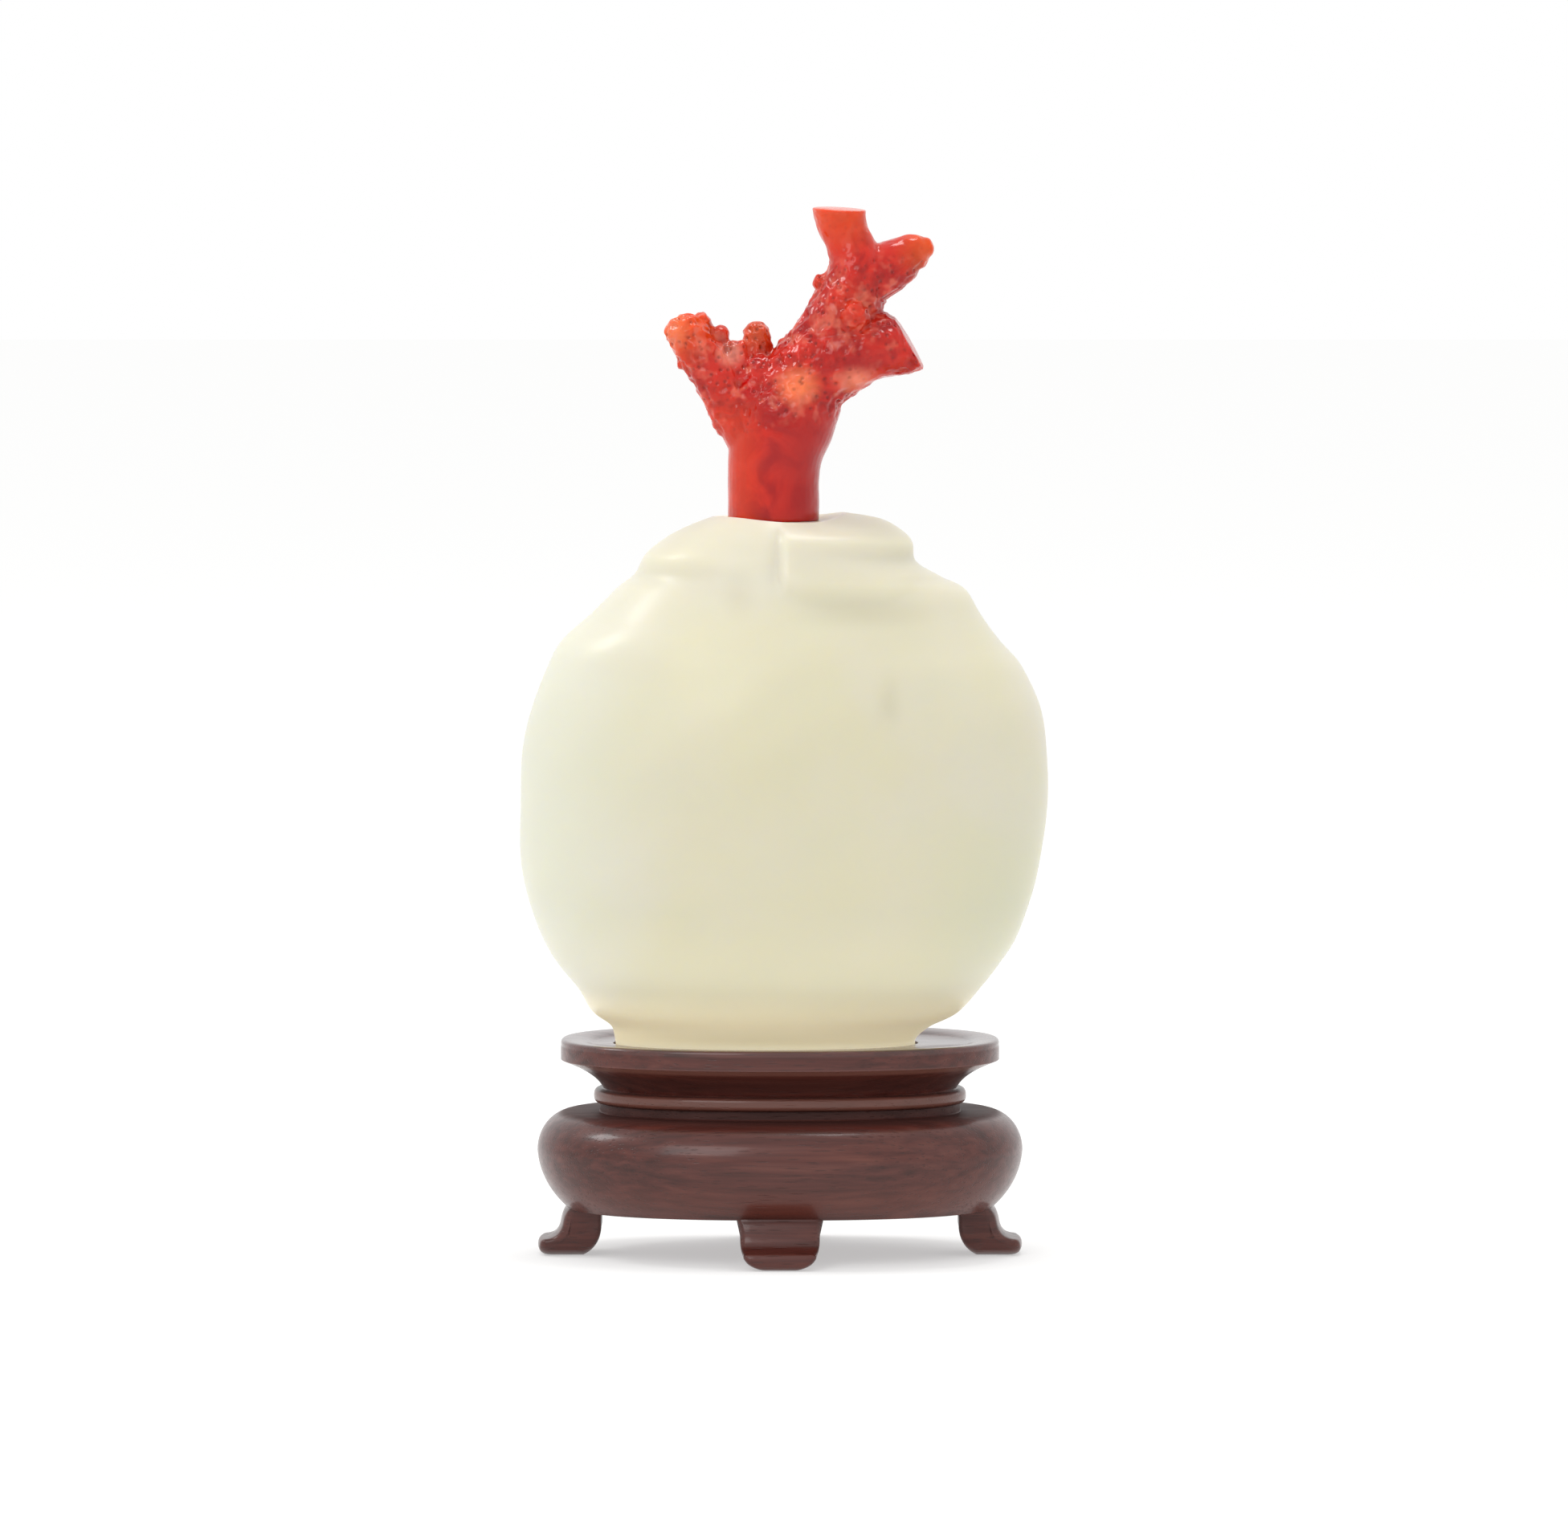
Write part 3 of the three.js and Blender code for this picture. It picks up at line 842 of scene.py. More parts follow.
@dataclass
class Stand:
    """The stand: an oval body swept from one profile, and four scroll feet.

    The drum's belly and shoulder and the bead's bulge are shares of the drum's and the bead's height. Pairs
    are distances across and up from the corner that they round. A bend is where a curve turns: a distance
    across, and a share of its height, as the instep is too. The heel's bend is in millimetres both ways. The
    lip slopes into the dish between two shares of its width.
    """

    drum_width: float = 48.5
    rim_width: float = 43.8
    apron_width: float = 42.8
    bead_width: float = 37.2
    waist_width: float = 35.4
    oval_difference: float = 13.0
    oval_power: float = 2.35
    foot_height: float = 4.75
    drum_height: float = 9.6
    groove_height: float = 0.9
    bead_height: float = 1.4
    flare_height: float = 2.45
    lip_thickness: float = 2.5
    lip_width: float = 1.6
    dish_depth: float = 0.45
    pocket_depth: float = 0.3
    apron_wall: float = 4.0
    underside_depth: float = 2.6
    foot_width: float = 7.9
    foot_sole_width: float = 4.2
    toe_reach: float = 2.8
    toe_height: float = 1.75
    foot_neck: float = 3.3
    foot_flare: float = 0.4
    foot_rounding: float = 0.62
    lip_face: float = 2.0
    lip_rounding: Flat = (0.5, 0.42)
    lip_underside: Flat = (0.95, 0.1)
    lip_arris: Flat = (0.12, 0.45)
    apron_edge: tuple[Flat, ...] = ((-0.28, 0.0), (-0.08, 0.07), (0.06, 0.24))
    groove_foot: tuple[Flat, ...] = ((0.12, 0.0), (0.02, 0.1))
    waist_foot: tuple[Flat, ...] = ((0.1, 0.02), (0.0, 0.12))
    groove_undercut: Flat = (-0.02, -0.05)
    drum_bend: Flat = (0.25, 0.27)
    flare_bend: Flat = (0.7, 0.6)
    lip_slope: Flat = (1.4, 2.0)
    ledge_share: float = 0.3
    belly_share: float = 0.6
    shoulder_share: float = 0.36
    bead_share: float = 0.45
    bead_squareness: float = 2.6
    foot_clearance: float = 0.3
    underside_corner: Flat = (0.4, 0.15)
    underside_edge: Flat = (0.1, 0.2)
    pocket_edge: Flat = (0.04, 0.06)
    pocket_corner: Flat = (0.06, 0.05)
    foot_buried: float = 0.8
    heel_bend: Flat = (0.2, 0.9)
    heel_reach: float = 1.6
    sole_start: float = 0.8
    instep: Flat = (0.55, 0.68)
    ankle_bend: Flat = (0.4, 0.9)
    ankle_set_in: float = 0.2
    seam: float = 0.004
    sharp_angle: float = 24.0
    curve_steps: int = 16
    flare_steps: int = 14
    rounding_steps: int = 6
    sides: int = 240

    @property
    def drum_top(self) -> float:
        """Height of the top of the drum."""
        return self.foot_height + self.drum_height

    @property
    def bead_top(self) -> float:
        """Height of the top of the bead."""
        return self.drum_top + self.groove_height + self.bead_height

    @property
    def lip_bottom(self) -> float:
        """Height of the lower edge of the lip."""
        return self.bead_top + self.flare_height

    @property
    def top(self) -> float:
        """Height of the top of the lip."""
        return self.lip_bottom + self.lip_thickness

    @property
    def dish_level(self) -> float:
        """Height of the dish inside the lip."""
        return self.top - self.dish_depth

    @property
    def pocket_floor(self) -> float:
        """Height of the pocket that takes the bottle's foot."""
        return self.dish_level - self.pocket_depth

    def profile(self) -> list[Flat]:
        """The outline that the ovals are swept along.

        Returns:
            Half-widths and heights, from the apron's lower edge up to the inside of the lip.
        """
        drum, waist, rim = self.drum_width / 2, self.waist_width / 2, self.rim_width / 2
        apron, bottom = self.apron_width / 2, self.foot_height
        belly = bottom + self.drum_height * self.belly_share
        shoulder = drum - self.drum_height * self.shoulder_share
        bulge = self.bead_height * self.bead_share
        groove = self.bead_width / 2 - bulge
        bead_middle = self.bead_top - self.bead_height / 2
        quarter, steps, few = math.pi / 2, self.curve_steps, self.curve_steps // 2
        points = [(apron + across, bottom + up) for across, up in self.apron_edge]
        bend = (drum - self.drum_bend[0], bottom + self.drum_height * self.drum_bend[1])
        points += quadratic(points[-1], bend, (drum, belly), steps)
        over = (drum - shoulder, self.drum_top - belly)
        points += ellipse_arc((shoulder, belly), over, 0, quarter, steps)[1:]
        points.append((lerp(shoulder, groove, self.ledge_share), self.drum_top))
        points += [(groove + across, self.drum_top + up) for across, up in self.groove_foot]
        inward, down = self.groove_undercut
        points.append((groove + inward, self.bead_top - self.bead_height + down))
        bead = (bulge, self.bead_height / 2)
        points += ellipse_arc((groove, bead_middle), bead, -quarter, quarter, steps, self.bead_squareness)
        points += [(waist + across, self.bead_top + up) for across, up in self.waist_foot]

        bend = (waist + self.flare_bend[0], self.bead_top + self.flare_height * self.flare_bend[1])
        under = (rim - self.lip_underside[0], self.lip_bottom + self.lip_underside[1])
        arris = (rim - self.lip_arris[0], self.lip_bottom + self.lip_arris[1])
        points += quadratic(points[-1], bend, under, self.flare_steps)
        points += quadratic(under, arris, (rim, self.top - self.lip_face), few)
        inward, down = self.lip_rounding
        points += quadratic((rim, self.top - down), (rim, self.top), (rim - inward, self.top), few)
        hollow, inside = (rim - self.lip_width * share for share in self.lip_slope)
        points += quadratic(points[-1], (hollow, self.top), (inside, self.dish_level), few)
        return points

    def rings(self, sole: "Sole") -> tuple[np.ndarray, np.ndarray, np.ndarray]:
        """The ovals that the body is swept through.

        Args:
            sole: The bottle's foot, which the pocket takes.

        Returns:
            Rows of half-width, half-depth and height, with each oval's middle along X and its power.
        """
        bottom, inside = self.foot_height, self.apron_width / 2 - self.apron_wall
        ceiling, hollow = bottom + self.underside_depth, inside - self.underside_depth / 2
        corner, edge = self.underside_corner, self.underside_edge
        underside = [(hollow - corner[0], ceiling), (hollow, ceiling - corner[1])]
        underside += [(inside - edge[0], bottom + edge[1]), (inside + edge[0], bottom)]
        rows = [(0.0, 0.0, ceiling, 0.0, self.oval_power)]
        for half_width, height in underside + self.profile():
            rows.append((half_width, half_width - self.oval_difference / 2, height, 0.0, self.oval_power))
        edge, corner = self.pocket_edge, self.pocket_corner
        pocket = [(0.0, self.dish_level), (edge[0], self.dish_level - edge[1])]
        pocket += [(corner[0], self.pocket_floor + corner[1]), (corner[0] * 2, self.pocket_floor)]
        reach, depth = sole.half_width + self.foot_clearance, sole.half_depth + self.foot_clearance
        for inset, height in pocket:
            rows.append((reach - inset, depth - inset, height, sole.centre, sole.power))
        rows.append((0.0, 0.0, self.pocket_floor, sole.centre, sole.power))
        table = np.array(rows)
        return table[:, :3], table[:, 3], table[:, 4]

    def body(self, sole: "Sole", finish: bpy.types.Material) -> bpy.types.Object:
        """Sweeps the body with Geometry Nodes: a grid whose rows become the ovals.

        Args:
            sole: The bottle's foot.
            finish: The material.

        Returns:
            The closed body.
        """
        sizes, middles, powers = self.rings(sole)
        guide = mesh_object("stand_ovals", sizes, [])
        for name, values in (("middle", middles * MM), ("power", powers)):
            guide.data.attributes.new(name, "FLOAT", "POINT").data.foreach_set("value", values.tolist())
        tree = SizedTree(
            "oval_sweep",
            {
                "Ovals": ("NodeSocketObject", guide),
                "Rows": ("NodeSocketInt", len(sizes)),
                "Sides": ("NodeSocketInt", self.sides),
                "Seam": ("NodeSocketFloat", self.seam * MM),
                "Finish": ("NodeSocketMaterial", finish),
            },
        )
        rows, sides = tree.size("Rows"), tree.size("Sides")
        grid = tree.node("GeometryNodeMeshGrid", {}, {"Vertices X": sides + 1, "Vertices Y": rows}, "Mesh")
        number = tree.node("GeometryNodeInputIndex")
        row = number % rows
        turn = number.math("FLOOR", number / rows) * (2 * math.pi) / sides
        ovals = tree.shape_of("Ovals")

        def sampled(kind: str, value: Value) -> Value:
            """A value read from this row's oval."""
            inputs = {"Geometry": ovals, "Value": value, "Index": row}
            return tree.node("GeometryNodeSampleIndex", {"data_type": kind, "domain": "POINT"}, inputs)

        def kept(name: str) -> Value:
            """A number that was stored on this row's oval."""
            return sampled("FLOAT", tree.stored(name))

        size = tree.parts(sampled("FLOAT_VECTOR", tree.node("GeometryNodeInputPosition")))
        bend = 2.0 / kept("power")

        def reach(operation: str) -> Value:
            """How far along an axis the oval goes at this turn, as a share of its half-size."""
            wave = turn.math(operation, turn)
            return wave.math("SIGN", wave) * abs(wave) ** bend

        place = tree.joined(
            kept("middle") + size * reach("COSINE"), size.other("Y") * reach("SINE"), size.other("Z")
        )
        moved = tree.node("GeometryNodeSetPosition", {}, {"Geometry": grid, "Position": place})
        seam = {"Geometry": moved, "Distance": tree.size("Seam")}
        tree.close(tree.node("GeometryNodeMergeByDistance", {}, seam), "Finish")
        made = tree.make("stand_body")
        bpy.data.objects.remove(guide)
        face_outwards(made.data, self.seam / 2 * MM)
        return made

    def foot_side(self) -> list[Flat]:
        """One foot from the side, with the apron's edge at 0 and the toe outwards.

        Returns:
            The closed outline as places across and heights, with the sole on the ground.
        """
        rise, buried = self.foot_height, self.foot_height + self.foot_buried
        toe, thick, back = self.toe_reach, self.toe_height, -self.foot_neck
        across, up = self.heel_bend
        points = [(back, buried), (back, rise * 0.8), (back, rise * 0.6)]
        points += quadratic(points[-1], (back + across, up), (back + self.heel_reach, 0.0), 10)
        points += [(-self.sole_start, 0.0), (toe * 0.5, 0.0)]
        points += quadratic(points[-1], (toe, 0.0), (toe, thick * 0.6), 7)
        points += quadratic(points[-1], (toe, thick), (toe * 0.75, thick), 6)
        across, share = self.instep
        points += quadratic(points[-1], (toe * 0.3, thick * 1.1), (across, rise * share), 8)
        across, share = self.ankle_bend
        points += quadratic(points[-1], (across, rise * share), (0.0, rise), 6)
        points.append((-self.ankle_set_in, buried))
        return points

    def foot_half_width(self, height: np.ndarray) -> np.ndarray:
        """How wide a foot is to each side of its middle, as seen from the front.

        Args:
            height: Heights above the ground.

        Returns:
            The half-width at each height.
        """
        half, rise = self.foot_width / 2, self.foot_height
        line = [(self.foot_sole_width / 2, 0.0)]
        line += quadratic(line[-1], (half, self.toe_height * 0.4), (half, rise * 0.6), 12)
        line += quadratic(line[-1], (half, rise * 0.9), (half + self.foot_flare, rise), 8)
        table = np.array(line)
        return np.interp(height, table[:, 1], table[:, 0])

    def foot(self) -> bpy.types.Object:
        """One foot at the origin: its side view drawn across, and drawn in near both faces to round them.

        Returns:
            The closed foot.
        """
        side = np.array(self.foot_side())
        ahead = np.roll(side, -1, axis=0) - side
        behind = side - np.roll(side, 1, axis=0)
        along = unit_rows(unit_rows(ahead) + unit_rows(behind))
        inward = np.column_stack([-along[:, 1], along[:, 0]])
        rounding, steps = self.foot_rounding, self.rounding_steps
        turns = [math.pi / 2 * i / steps for i in range(steps, 0, -1)]
        arc = [(rounding * (1.0 - math.sin(turn)), rounding * (1.0 - math.cos(turn))) for turn in turns]
        half = [(1.0, gap, inset) for gap, inset in arc]
        half += [(1.0 - i / steps, rounding, 0.0) for i in range(steps)]
        other_half = [(-share, gap, inset) for share, gap, inset in reversed(half)]
        rings = []
        for share, gap, inset in half + [(0.0, rounding, 0.0)] + other_half:
            outline = side + inward * inset
            reach = self.foot_half_width(np.clip(outline[:, 1], 0.0, None)) - gap
            rings.append(np.column_stack([outline[:, 0], reach * share, outline[:, 1]]))
        points, faces = loft(rings)
        made = mesh_object("foot", points, faces)
        face_outwards(made.data)
        return made

    def feet(self, finish: bpy.types.Material) -> bpy.types.Object:
        """Sets the foot under the apron four times with Geometry Nodes, bowed to follow the oval.

        Args:
            finish: The material.

        Returns:
            The four feet as one mesh.
        """
        foot = self.foot()
        reach = self.apron_width / 2
        tree = SizedTree(
            "feet_round_oval",
            {
                "Foot": ("NodeSocketObject", foot),
                "Feet": ("NodeSocketInt", 4),
                "Half Width": ("NodeSocketFloat", reach * MM),
                "Half Depth": ("NodeSocketFloat", (reach - self.oval_difference / 2) * MM),
                "Oval Power": ("NodeSocketFloat", self.oval_power),
                "Finish": ("NodeSocketMaterial", finish),
            },
        )
        line = {"Count": tree.size("Feet"), "Offset": (0.0, 0.0, 0.0)}
        stations = tree.node("GeometryNodeMeshLine", {"mode": "OFFSET"}, line)
        placing = {"Points": stations, "Instance": tree.shape_of("Foot")}
        copies = tree.node("GeometryNodeInstanceOnPoints", {}, placing)
        numbered = tree.node(
            "GeometryNodeStoreNamedAttribute",
            {"data_type": "FLOAT", "domain": "INSTANCE"},
            {"Geometry": copies, "Name": "quarter", "Value": tree.node("GeometryNodeInputIndex")},
        )
        real = tree.node("GeometryNodeRealizeInstances", {}, {"Geometry": numbered})
        quarter = tree.stored("quarter")
        width, depth, power = tree.size("Half Width"), tree.size("Half Depth"), tree.size("Oval Power")
        on_face = quarter % 2.0
        edge = width + on_face * (depth - width)
        across = depth + on_face * (width - depth)
        here = tree.parts(tree.node("GeometryNodeInputPosition"))
        share = abs(here.other("Y")) / across
        bow = edge * (1.0 - (1.0 - share**power) ** (1.0 / power))
        bowed = tree.joined(here + edge - bow, here.other("Y"), here.other("Z"))
        turned = tree.node(
            "ShaderNodeVectorRotate",
            {"rotation_type": "Z_AXIS"},
            {"Vector": bowed, "Angle": quarter * (math.pi / 2)},
        )
        set_down = tree.node("GeometryNodeSetPosition", {}, {"Geometry": real, "Position": turned})
        tree.close(set_down, "Finish")
        made = tree.make("stand_feet")
        bpy.data.objects.remove(foot)
        face_outwards(made.data)
        return made

    def build(self, sole: "Sole", finish: bpy.types.Material) -> bpy.types.Object:
        """Joins the body and the feet into one carved piece and dresses it.

        Args:
            sole: The bottle's foot.
            finish: The material.

        Returns:
            The finished stand.
        """
        body = self.body(sole, finish)
        feet = self.feet(finish)
        union = body.modifiers.new("Feet", "BOOLEAN")
        union.operation = "UNION"
        union.solver = "MANIFOLD"
        union.object = feet
        bake_modifiers(body)
        bpy.data.objects.remove(feet)
        body.name = body.data.name = "carved_stand"
        body.data.shade_smooth()
        body.data.set_sharp_from_angle(angle=math.radians(self.sharp_angle))
        body.data.materials.clear()
        body.data.materials.append(finish)
        body.data.polygons.foreach_set("material_index", [0] * len(body.data.polygons))
        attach(body, BODY)
        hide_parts("stand")
        return body


# The bottle


@dataclass(frozen=True)
class Sole:
    """The flat oval that the bottle stands on."""

    half_width: float
    half_depth: float
    centre: float
    power: float


@dataclass(frozen=True)
class Lobe:
    """One carved lobe of the collar.

    Its lower edge climbs from near the mouth to its far side, as shares of the bottle's height, between two
    places outward from the mouth, and ripples a little on the way.
    """

    near: float
    far: float
    climb: Flat
    ripple: float
    pace: float
    phase: float
    amount: float
    softness: float

    def edge(self, outward: np.ndarray) -> np.ndarray:
        """Heights of the lower edge, as shares of the bottle's height, at places outward from the mouth."""
        climbing = lerp(self.near, self.far, smoothstep(outward, *self.climb))
        return climbing + self.ripple * np.sin(outward * self.pace + self.phase)


class View(Enum):
    """Where a profile of the bottle is read."""

    LEFT = "left"
    RIGHT = "right"
    FACE = "face"


@dataclass
class Bottle:
    """The bottle: an irregular flattened pebble, hollow, with a collar of two folded lobes.

    The sides are pairs of reach, as a share of the half-width or half-depth, and height, as a share of the
    bottle's height. The collars are pairs of reach beyond the crest, in millimetres, and height as a share.
    A span is the two ends of a gradual change: of the lobes, in shares of the height, and of the skin, in
    shares of the way from the sole to the crest.
    """

    height: float = 53.35
    width: float = 52.5
    depth: float = 32.0
    wall: float = 4.0
    floor: float = 5.0
    shoulder: float = 8.5
    mouth_bore: float = 6.8
    set_off: float = 0.4
    mouth_set_off: float = -1.05
    seat_sinking: float = 0.8
    stem_diameter: float = 9.1
    seat_margin: float = 1.0
    relief: float = 0.95
    left_lobe: Lobe = Lobe(0.868, 0.9, (0.0, 13.0), 0.003, -0.9, 0.6, 0.32, 0.032)
    right_lobe: Lobe = Lobe(0.856, 0.885, (10.5, 14.5), 0.002, 0.8, 0.0, 0.78, 0.028)
    lobe_fading_span: Flat = (0.95, 0.99)
    cleft: float = 0.75
    cleft_blend: float = 0.55
    cleft_lift: float = 0.014
    cleft_lift_reach: float = 1.5
    crease: float = 0.14
    crease_set_off: float = 0.45
    crease_reach: float = 0.55
    crease_span: Flat = (0.85, 0.92)
    slow_swell: float = 0.09
    quick_swell: float = 0.045
    swell_start_span: Flat = (0.05, 0.2)
    swell_end_span: Flat = (0.9, 0.97)
    mouth_slant: float = 0.42
    mouth_slant_span: Flat = (0.86, 1.0)
    mouth_edge: float = 0.15
    rim_power: float = 0.8
    hollow_power: float = 0.9
    power: float = 2.12
    sides: int = 288
    skin_steps: int = 232
    crest_steps: int = 8
    hollow_steps: int = 30
    stand_level: float = 20.85

    left_crest: float = 0.7
    right_crest: float = 1.6
    face_crest: float = 0.8
    sole_rounding: tuple[Flat, ...] = ((0.32, 0.0), (0.12, 0.03), (0.03, 0.12))
    left_side: tuple[Flat, ...] = (
        (0.64, 0), (0.645, 0.018), (0.662, 0.04), (0.733, 0.066), (0.785, 0.108), (0.86, 0.155),
        (0.92, 0.205), (0.965, 0.27), (0.998, 0.345), (1, 0.44), (0.998, 0.54), (0.965, 0.625),
        (0.9, 0.711), (0.842, 0.762), (0.735, 0.81), (0.632, 0.86),
    )
    right_side: tuple[Flat, ...] = (
        (0.5, 0), (0.505, 0.016), (0.56, 0.038), (0.665, 0.064), (0.75, 0.11), (0.82, 0.155),
        (0.88, 0.2), (0.928, 0.262), (0.965, 0.33), (0.995, 0.43), (1, 0.54), (0.975, 0.635),
        (0.905, 0.711), (0.82, 0.76), (0.745, 0.81), (0.682, 0.858),
    )
    face_side: tuple[Flat, ...] = (
        (0.53, 0), (0.535, 0.016), (0.61, 0.036), (0.7, 0.066), (0.775, 0.108), (0.845, 0.155),
        (0.9, 0.205), (0.95, 0.27), (0.985, 0.345), (1, 0.44), (0.99, 0.54), (0.945, 0.625),
        (0.87, 0.705), (0.8, 0.76), (0.715, 0.81), (0.63, 0.86),
    )
    left_collar: tuple[Flat, ...] = ((7.5, 0.886), (6.2, 0.922), (4.1, 0.953), (2, 0.976), (0, 0.991))
    right_collar: tuple[Flat, ...] = ((9.3, 0.88), (6.4, 0.908), (5.9, 0.948), (4, 0.985), (0, 1))
    face_collar: tuple[Flat, ...] = ((3, 0.888), (2.2, 0.925), (1.4, 0.955), (0.7, 0.975), (0, 0.988))

    @property
    def seat_radius(self) -> float:
        """Radius of the seat that the stopper stands on."""
        return self.stem_diameter / 2 + self.seat_margin

    @property
    def seat_height(self) -> float:
        """Height of the seat above the bottle's sole."""
        return self.height - self.seat_sinking

    def profile(self, view: View) -> np.ndarray:
        """The skin on one side, from the sole to the crest of the collar.

        Args:
            view: Which side.

        Returns:
            Rows of reach and height.
        """
        half, off = self.width / 2, self.mouth_set_off
        side, collar, reach, crest = {
            View.LEFT: (self.left_side, self.left_collar, half, self.left_crest - off),
            View.RIGHT: (self.right_side, self.right_collar, half, self.right_crest + off),
            View.FACE: (self.face_side, self.face_collar, self.depth / 2, self.face_crest),
        }[view]
        rows = [(share * reach, rise * self.height) for share, rise in side]
        rows += [(self.seat_radius + crest + spread, rise * self.height) for spread, rise in collar]
        return np.array(rows)

    def sole(self) -> Sole:
        """The bottle's foot as it stands in the pocket."""
        left, right, face = (self.profile(view)[0][0] for view in View)
        return Sole((left + right) / 2, face, self.set_off + (right - left) / 2, self.power)

    def lobes(self, x: np.ndarray, height: np.ndarray) -> np.ndarray:
        """How far the carved lobes of the collar stand out.

        Each lobe's lower edge is a share of the height that changes slowly along X. The right lobe folds
        over the left one, and a crease runs down where they meet.

        Args:
            x: Places along X, from the middle of the body.
            height: Heights above the sole.

        Returns:
            The relief at each place.
        """
        rise = height / self.height
        across = x - self.mouth_set_off
        past_cleft = across - self.cleft
        on_right = smoothstep(past_cleft, -self.cleft_blend, self.cleft_blend)
        left, right = self.left_lobe, self.right_lobe
        right_edge = right.edge(across) + self.cleft_lift * bell(past_cleft, self.cleft_lift_reach)
        edge = lerp(left.edge(-across), right_edge, on_right)
        amount = lerp(left.amount, right.amount, on_right) * self.relief
        softness = lerp(left.softness, right.softness, on_right)
        fold = smoothstep((rise - edge) / softness, -1.0, 1.0)
        crease = self.crease * bell(past_cleft + self.crease_set_off, self.crease_reach)
        crease *= smoothstep(rise, *self.crease_span)
        return (amount * fold - crease) * (1.0 - smoothstep(rise, *self.lobe_fading_span))

    def unevenness(self, x: np.ndarray, y: np.ndarray, z: np.ndarray) -> np.ndarray:
        """Slow swells that a pebble's surface keeps after polishing."""
        slow = np.sin(0.21 * x + 0.17 * z + 1.3) * np.cos(0.19 * y - 0.13 * z)
        quick = np.sin(0.52 * x - 0.33 * z + 0.4) * np.sin(0.41 * z + 0.37 * y + 2.0)
        return self.slow_swell * slow + self.quick_swell * quick

    def skin_ring(self, profiles: dict[View, np.ndarray], share: float) -> np.ndarray:
        """One ring of the skin.

        Args:
            profiles: The profile of each side.
            share: How far up the ring is, from 0 at the sole to 1 at the crest.

        Returns:
            The ring's points as rows.
        """
        left, right, face = (spline(profiles[view], share) for view in View)
        half_width, centre = (left[0] + right[0]) / 2, (right[0] - left[0]) / 2
        flat = oval(half_width, face[0], self.power, self.sides, centre)
        turn = np.clip((flat[:, 0] - centre) / half_width, -1.0, 1.0)
        side_height = lerp(left[1], right[1], (1.0 + turn) / 2.0)
        height = lerp(face[1], side_height, turn * turn)
        outward = unit_rows(flat - np.array([centre, 0.0]))
        swell = self.unevenness(flat[:, 0], flat[:, 1], height) * smoothstep(share, *self.swell_start_span)
        push = self.lobes(flat[:, 0], height) + swell * (1.0 - smoothstep(share, *self.swell_end_span))
        rightwards = np.clip((flat[:, 0] - self.mouth_set_off) / self.seat_radius, -1.0, 1.0)
        forwards = np.clip(-flat[:, 1] / self.seat_radius, 0.0, 1.0)
        slanting = smoothstep(share, *self.mouth_slant_span)
        height = height - self.mouth_slant * rightwards * forwards * slanting
        return np.column_stack([flat + outward * push[:, None], height])

    def round_ring(self, radius: float, height: float) -> np.ndarray:
        """A level round ring about the middle of the mouth."""
        flat = oval(radius, radius, 2.0, self.sides, self.mouth_set_off)
        return np.column_stack([flat, np.full(self.sides, height)])

    def skin(self) -> list[np.ndarray]:
        """The outside.

        Returns:
            The rings from the rounded edge of the sole to the crest of the collar.
        """
        profiles = {view: self.profile(view) for view in View}
        first = self.skin_ring(profiles, 0.0)
        outward = unit_rows(first[:, :2] - first.mean(axis=0)[:2])
        rings = []
        for inset, lift in self.sole_rounding:
            rings.append(np.column_stack([first[:, :2] - inset * outward, np.full(self.sides, lift)]))
        for i in range(self.skin_steps + 1):
            share = lerp(0.012, 1.0, (i / self.skin_steps) ** 1.06)
            rings.append(self.skin_ring(profiles, share))
        return rings

    def mouth(self, crest: np.ndarray) -> list[np.ndarray]:
        """The rounded rim, the seat and the top of the bore.

        Args:
            crest: The last ring of the outside.

        Returns:
            The rings after the crest, down into the bore.
        """
        seat = self.round_ring(self.seat_radius, self.seat_height)
        rings = []
        for i in range(1, self.crest_steps):
            turn = i / self.crest_steps * math.pi / 2
            ring = lerp(crest, seat, 1.0 - math.cos(turn))
            ring[:, 2] = lerp(seat[:, 2], crest[:, 2], math.cos(turn) ** self.rim_power)
            rings.append(ring)
        bore, edge = self.mouth_bore / 2, self.mouth_edge
        rings += [seat, self.round_ring(bore + edge, self.seat_height)]
        rings.append(self.round_ring(bore, self.seat_height - edge))
        return rings

    def hollow(self) -> list[np.ndarray]:
        """The inside, which widens from the bore into a rounded hollow.

        Returns:
            The rings from the foot of the bore to near the inside floor.
        """
        bore = self.mouth_bore / 2
        half_width, half_depth = self.width / 2 - self.wall, self.depth / 2 - self.wall
        top = self.height - self.shoulder
        middle, half_height = (top + self.floor) / 2, (top - self.floor) / 2
        meeting = math.asin(bore / half_width)
        rings = []
        for i in range(self.hollow_steps):
            turn = lerp(meeting, math.pi, i / self.hollow_steps)
            swell = math.sin(turn) ** self.hollow_power
            centre = self.mouth_set_off * float(1.0 - smoothstep(turn, meeting, 1.0))
            across, deep = max(bore, half_width * swell), max(bore, half_depth * swell)
            level = np.full(self.sides, middle + half_height * math.cos(turn))
            rings.append(np.column_stack([oval(across, deep, 2.0, self.sides, centre), level]))
        return rings

    def build(self, finish: bpy.types.Material) -> bpy.types.Object:
        """Lofts the bottle and dresses it.

        Args:
            finish: The material.

        Returns:
            The finished bottle.
        """
        skin = self.skin()
        points, faces = loft(skin + self.mouth(skin[-1]) + self.hollow())
        made = mesh_object("jade_bottle", points + np.array([self.set_off, 0.0, self.stand_level]), faces)
        face_outwards(made.data)
        made.data.shade_smooth()
        made.data.materials.append(finish)
        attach(made, BODY)
        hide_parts("bottle")
        return made


# The stopper


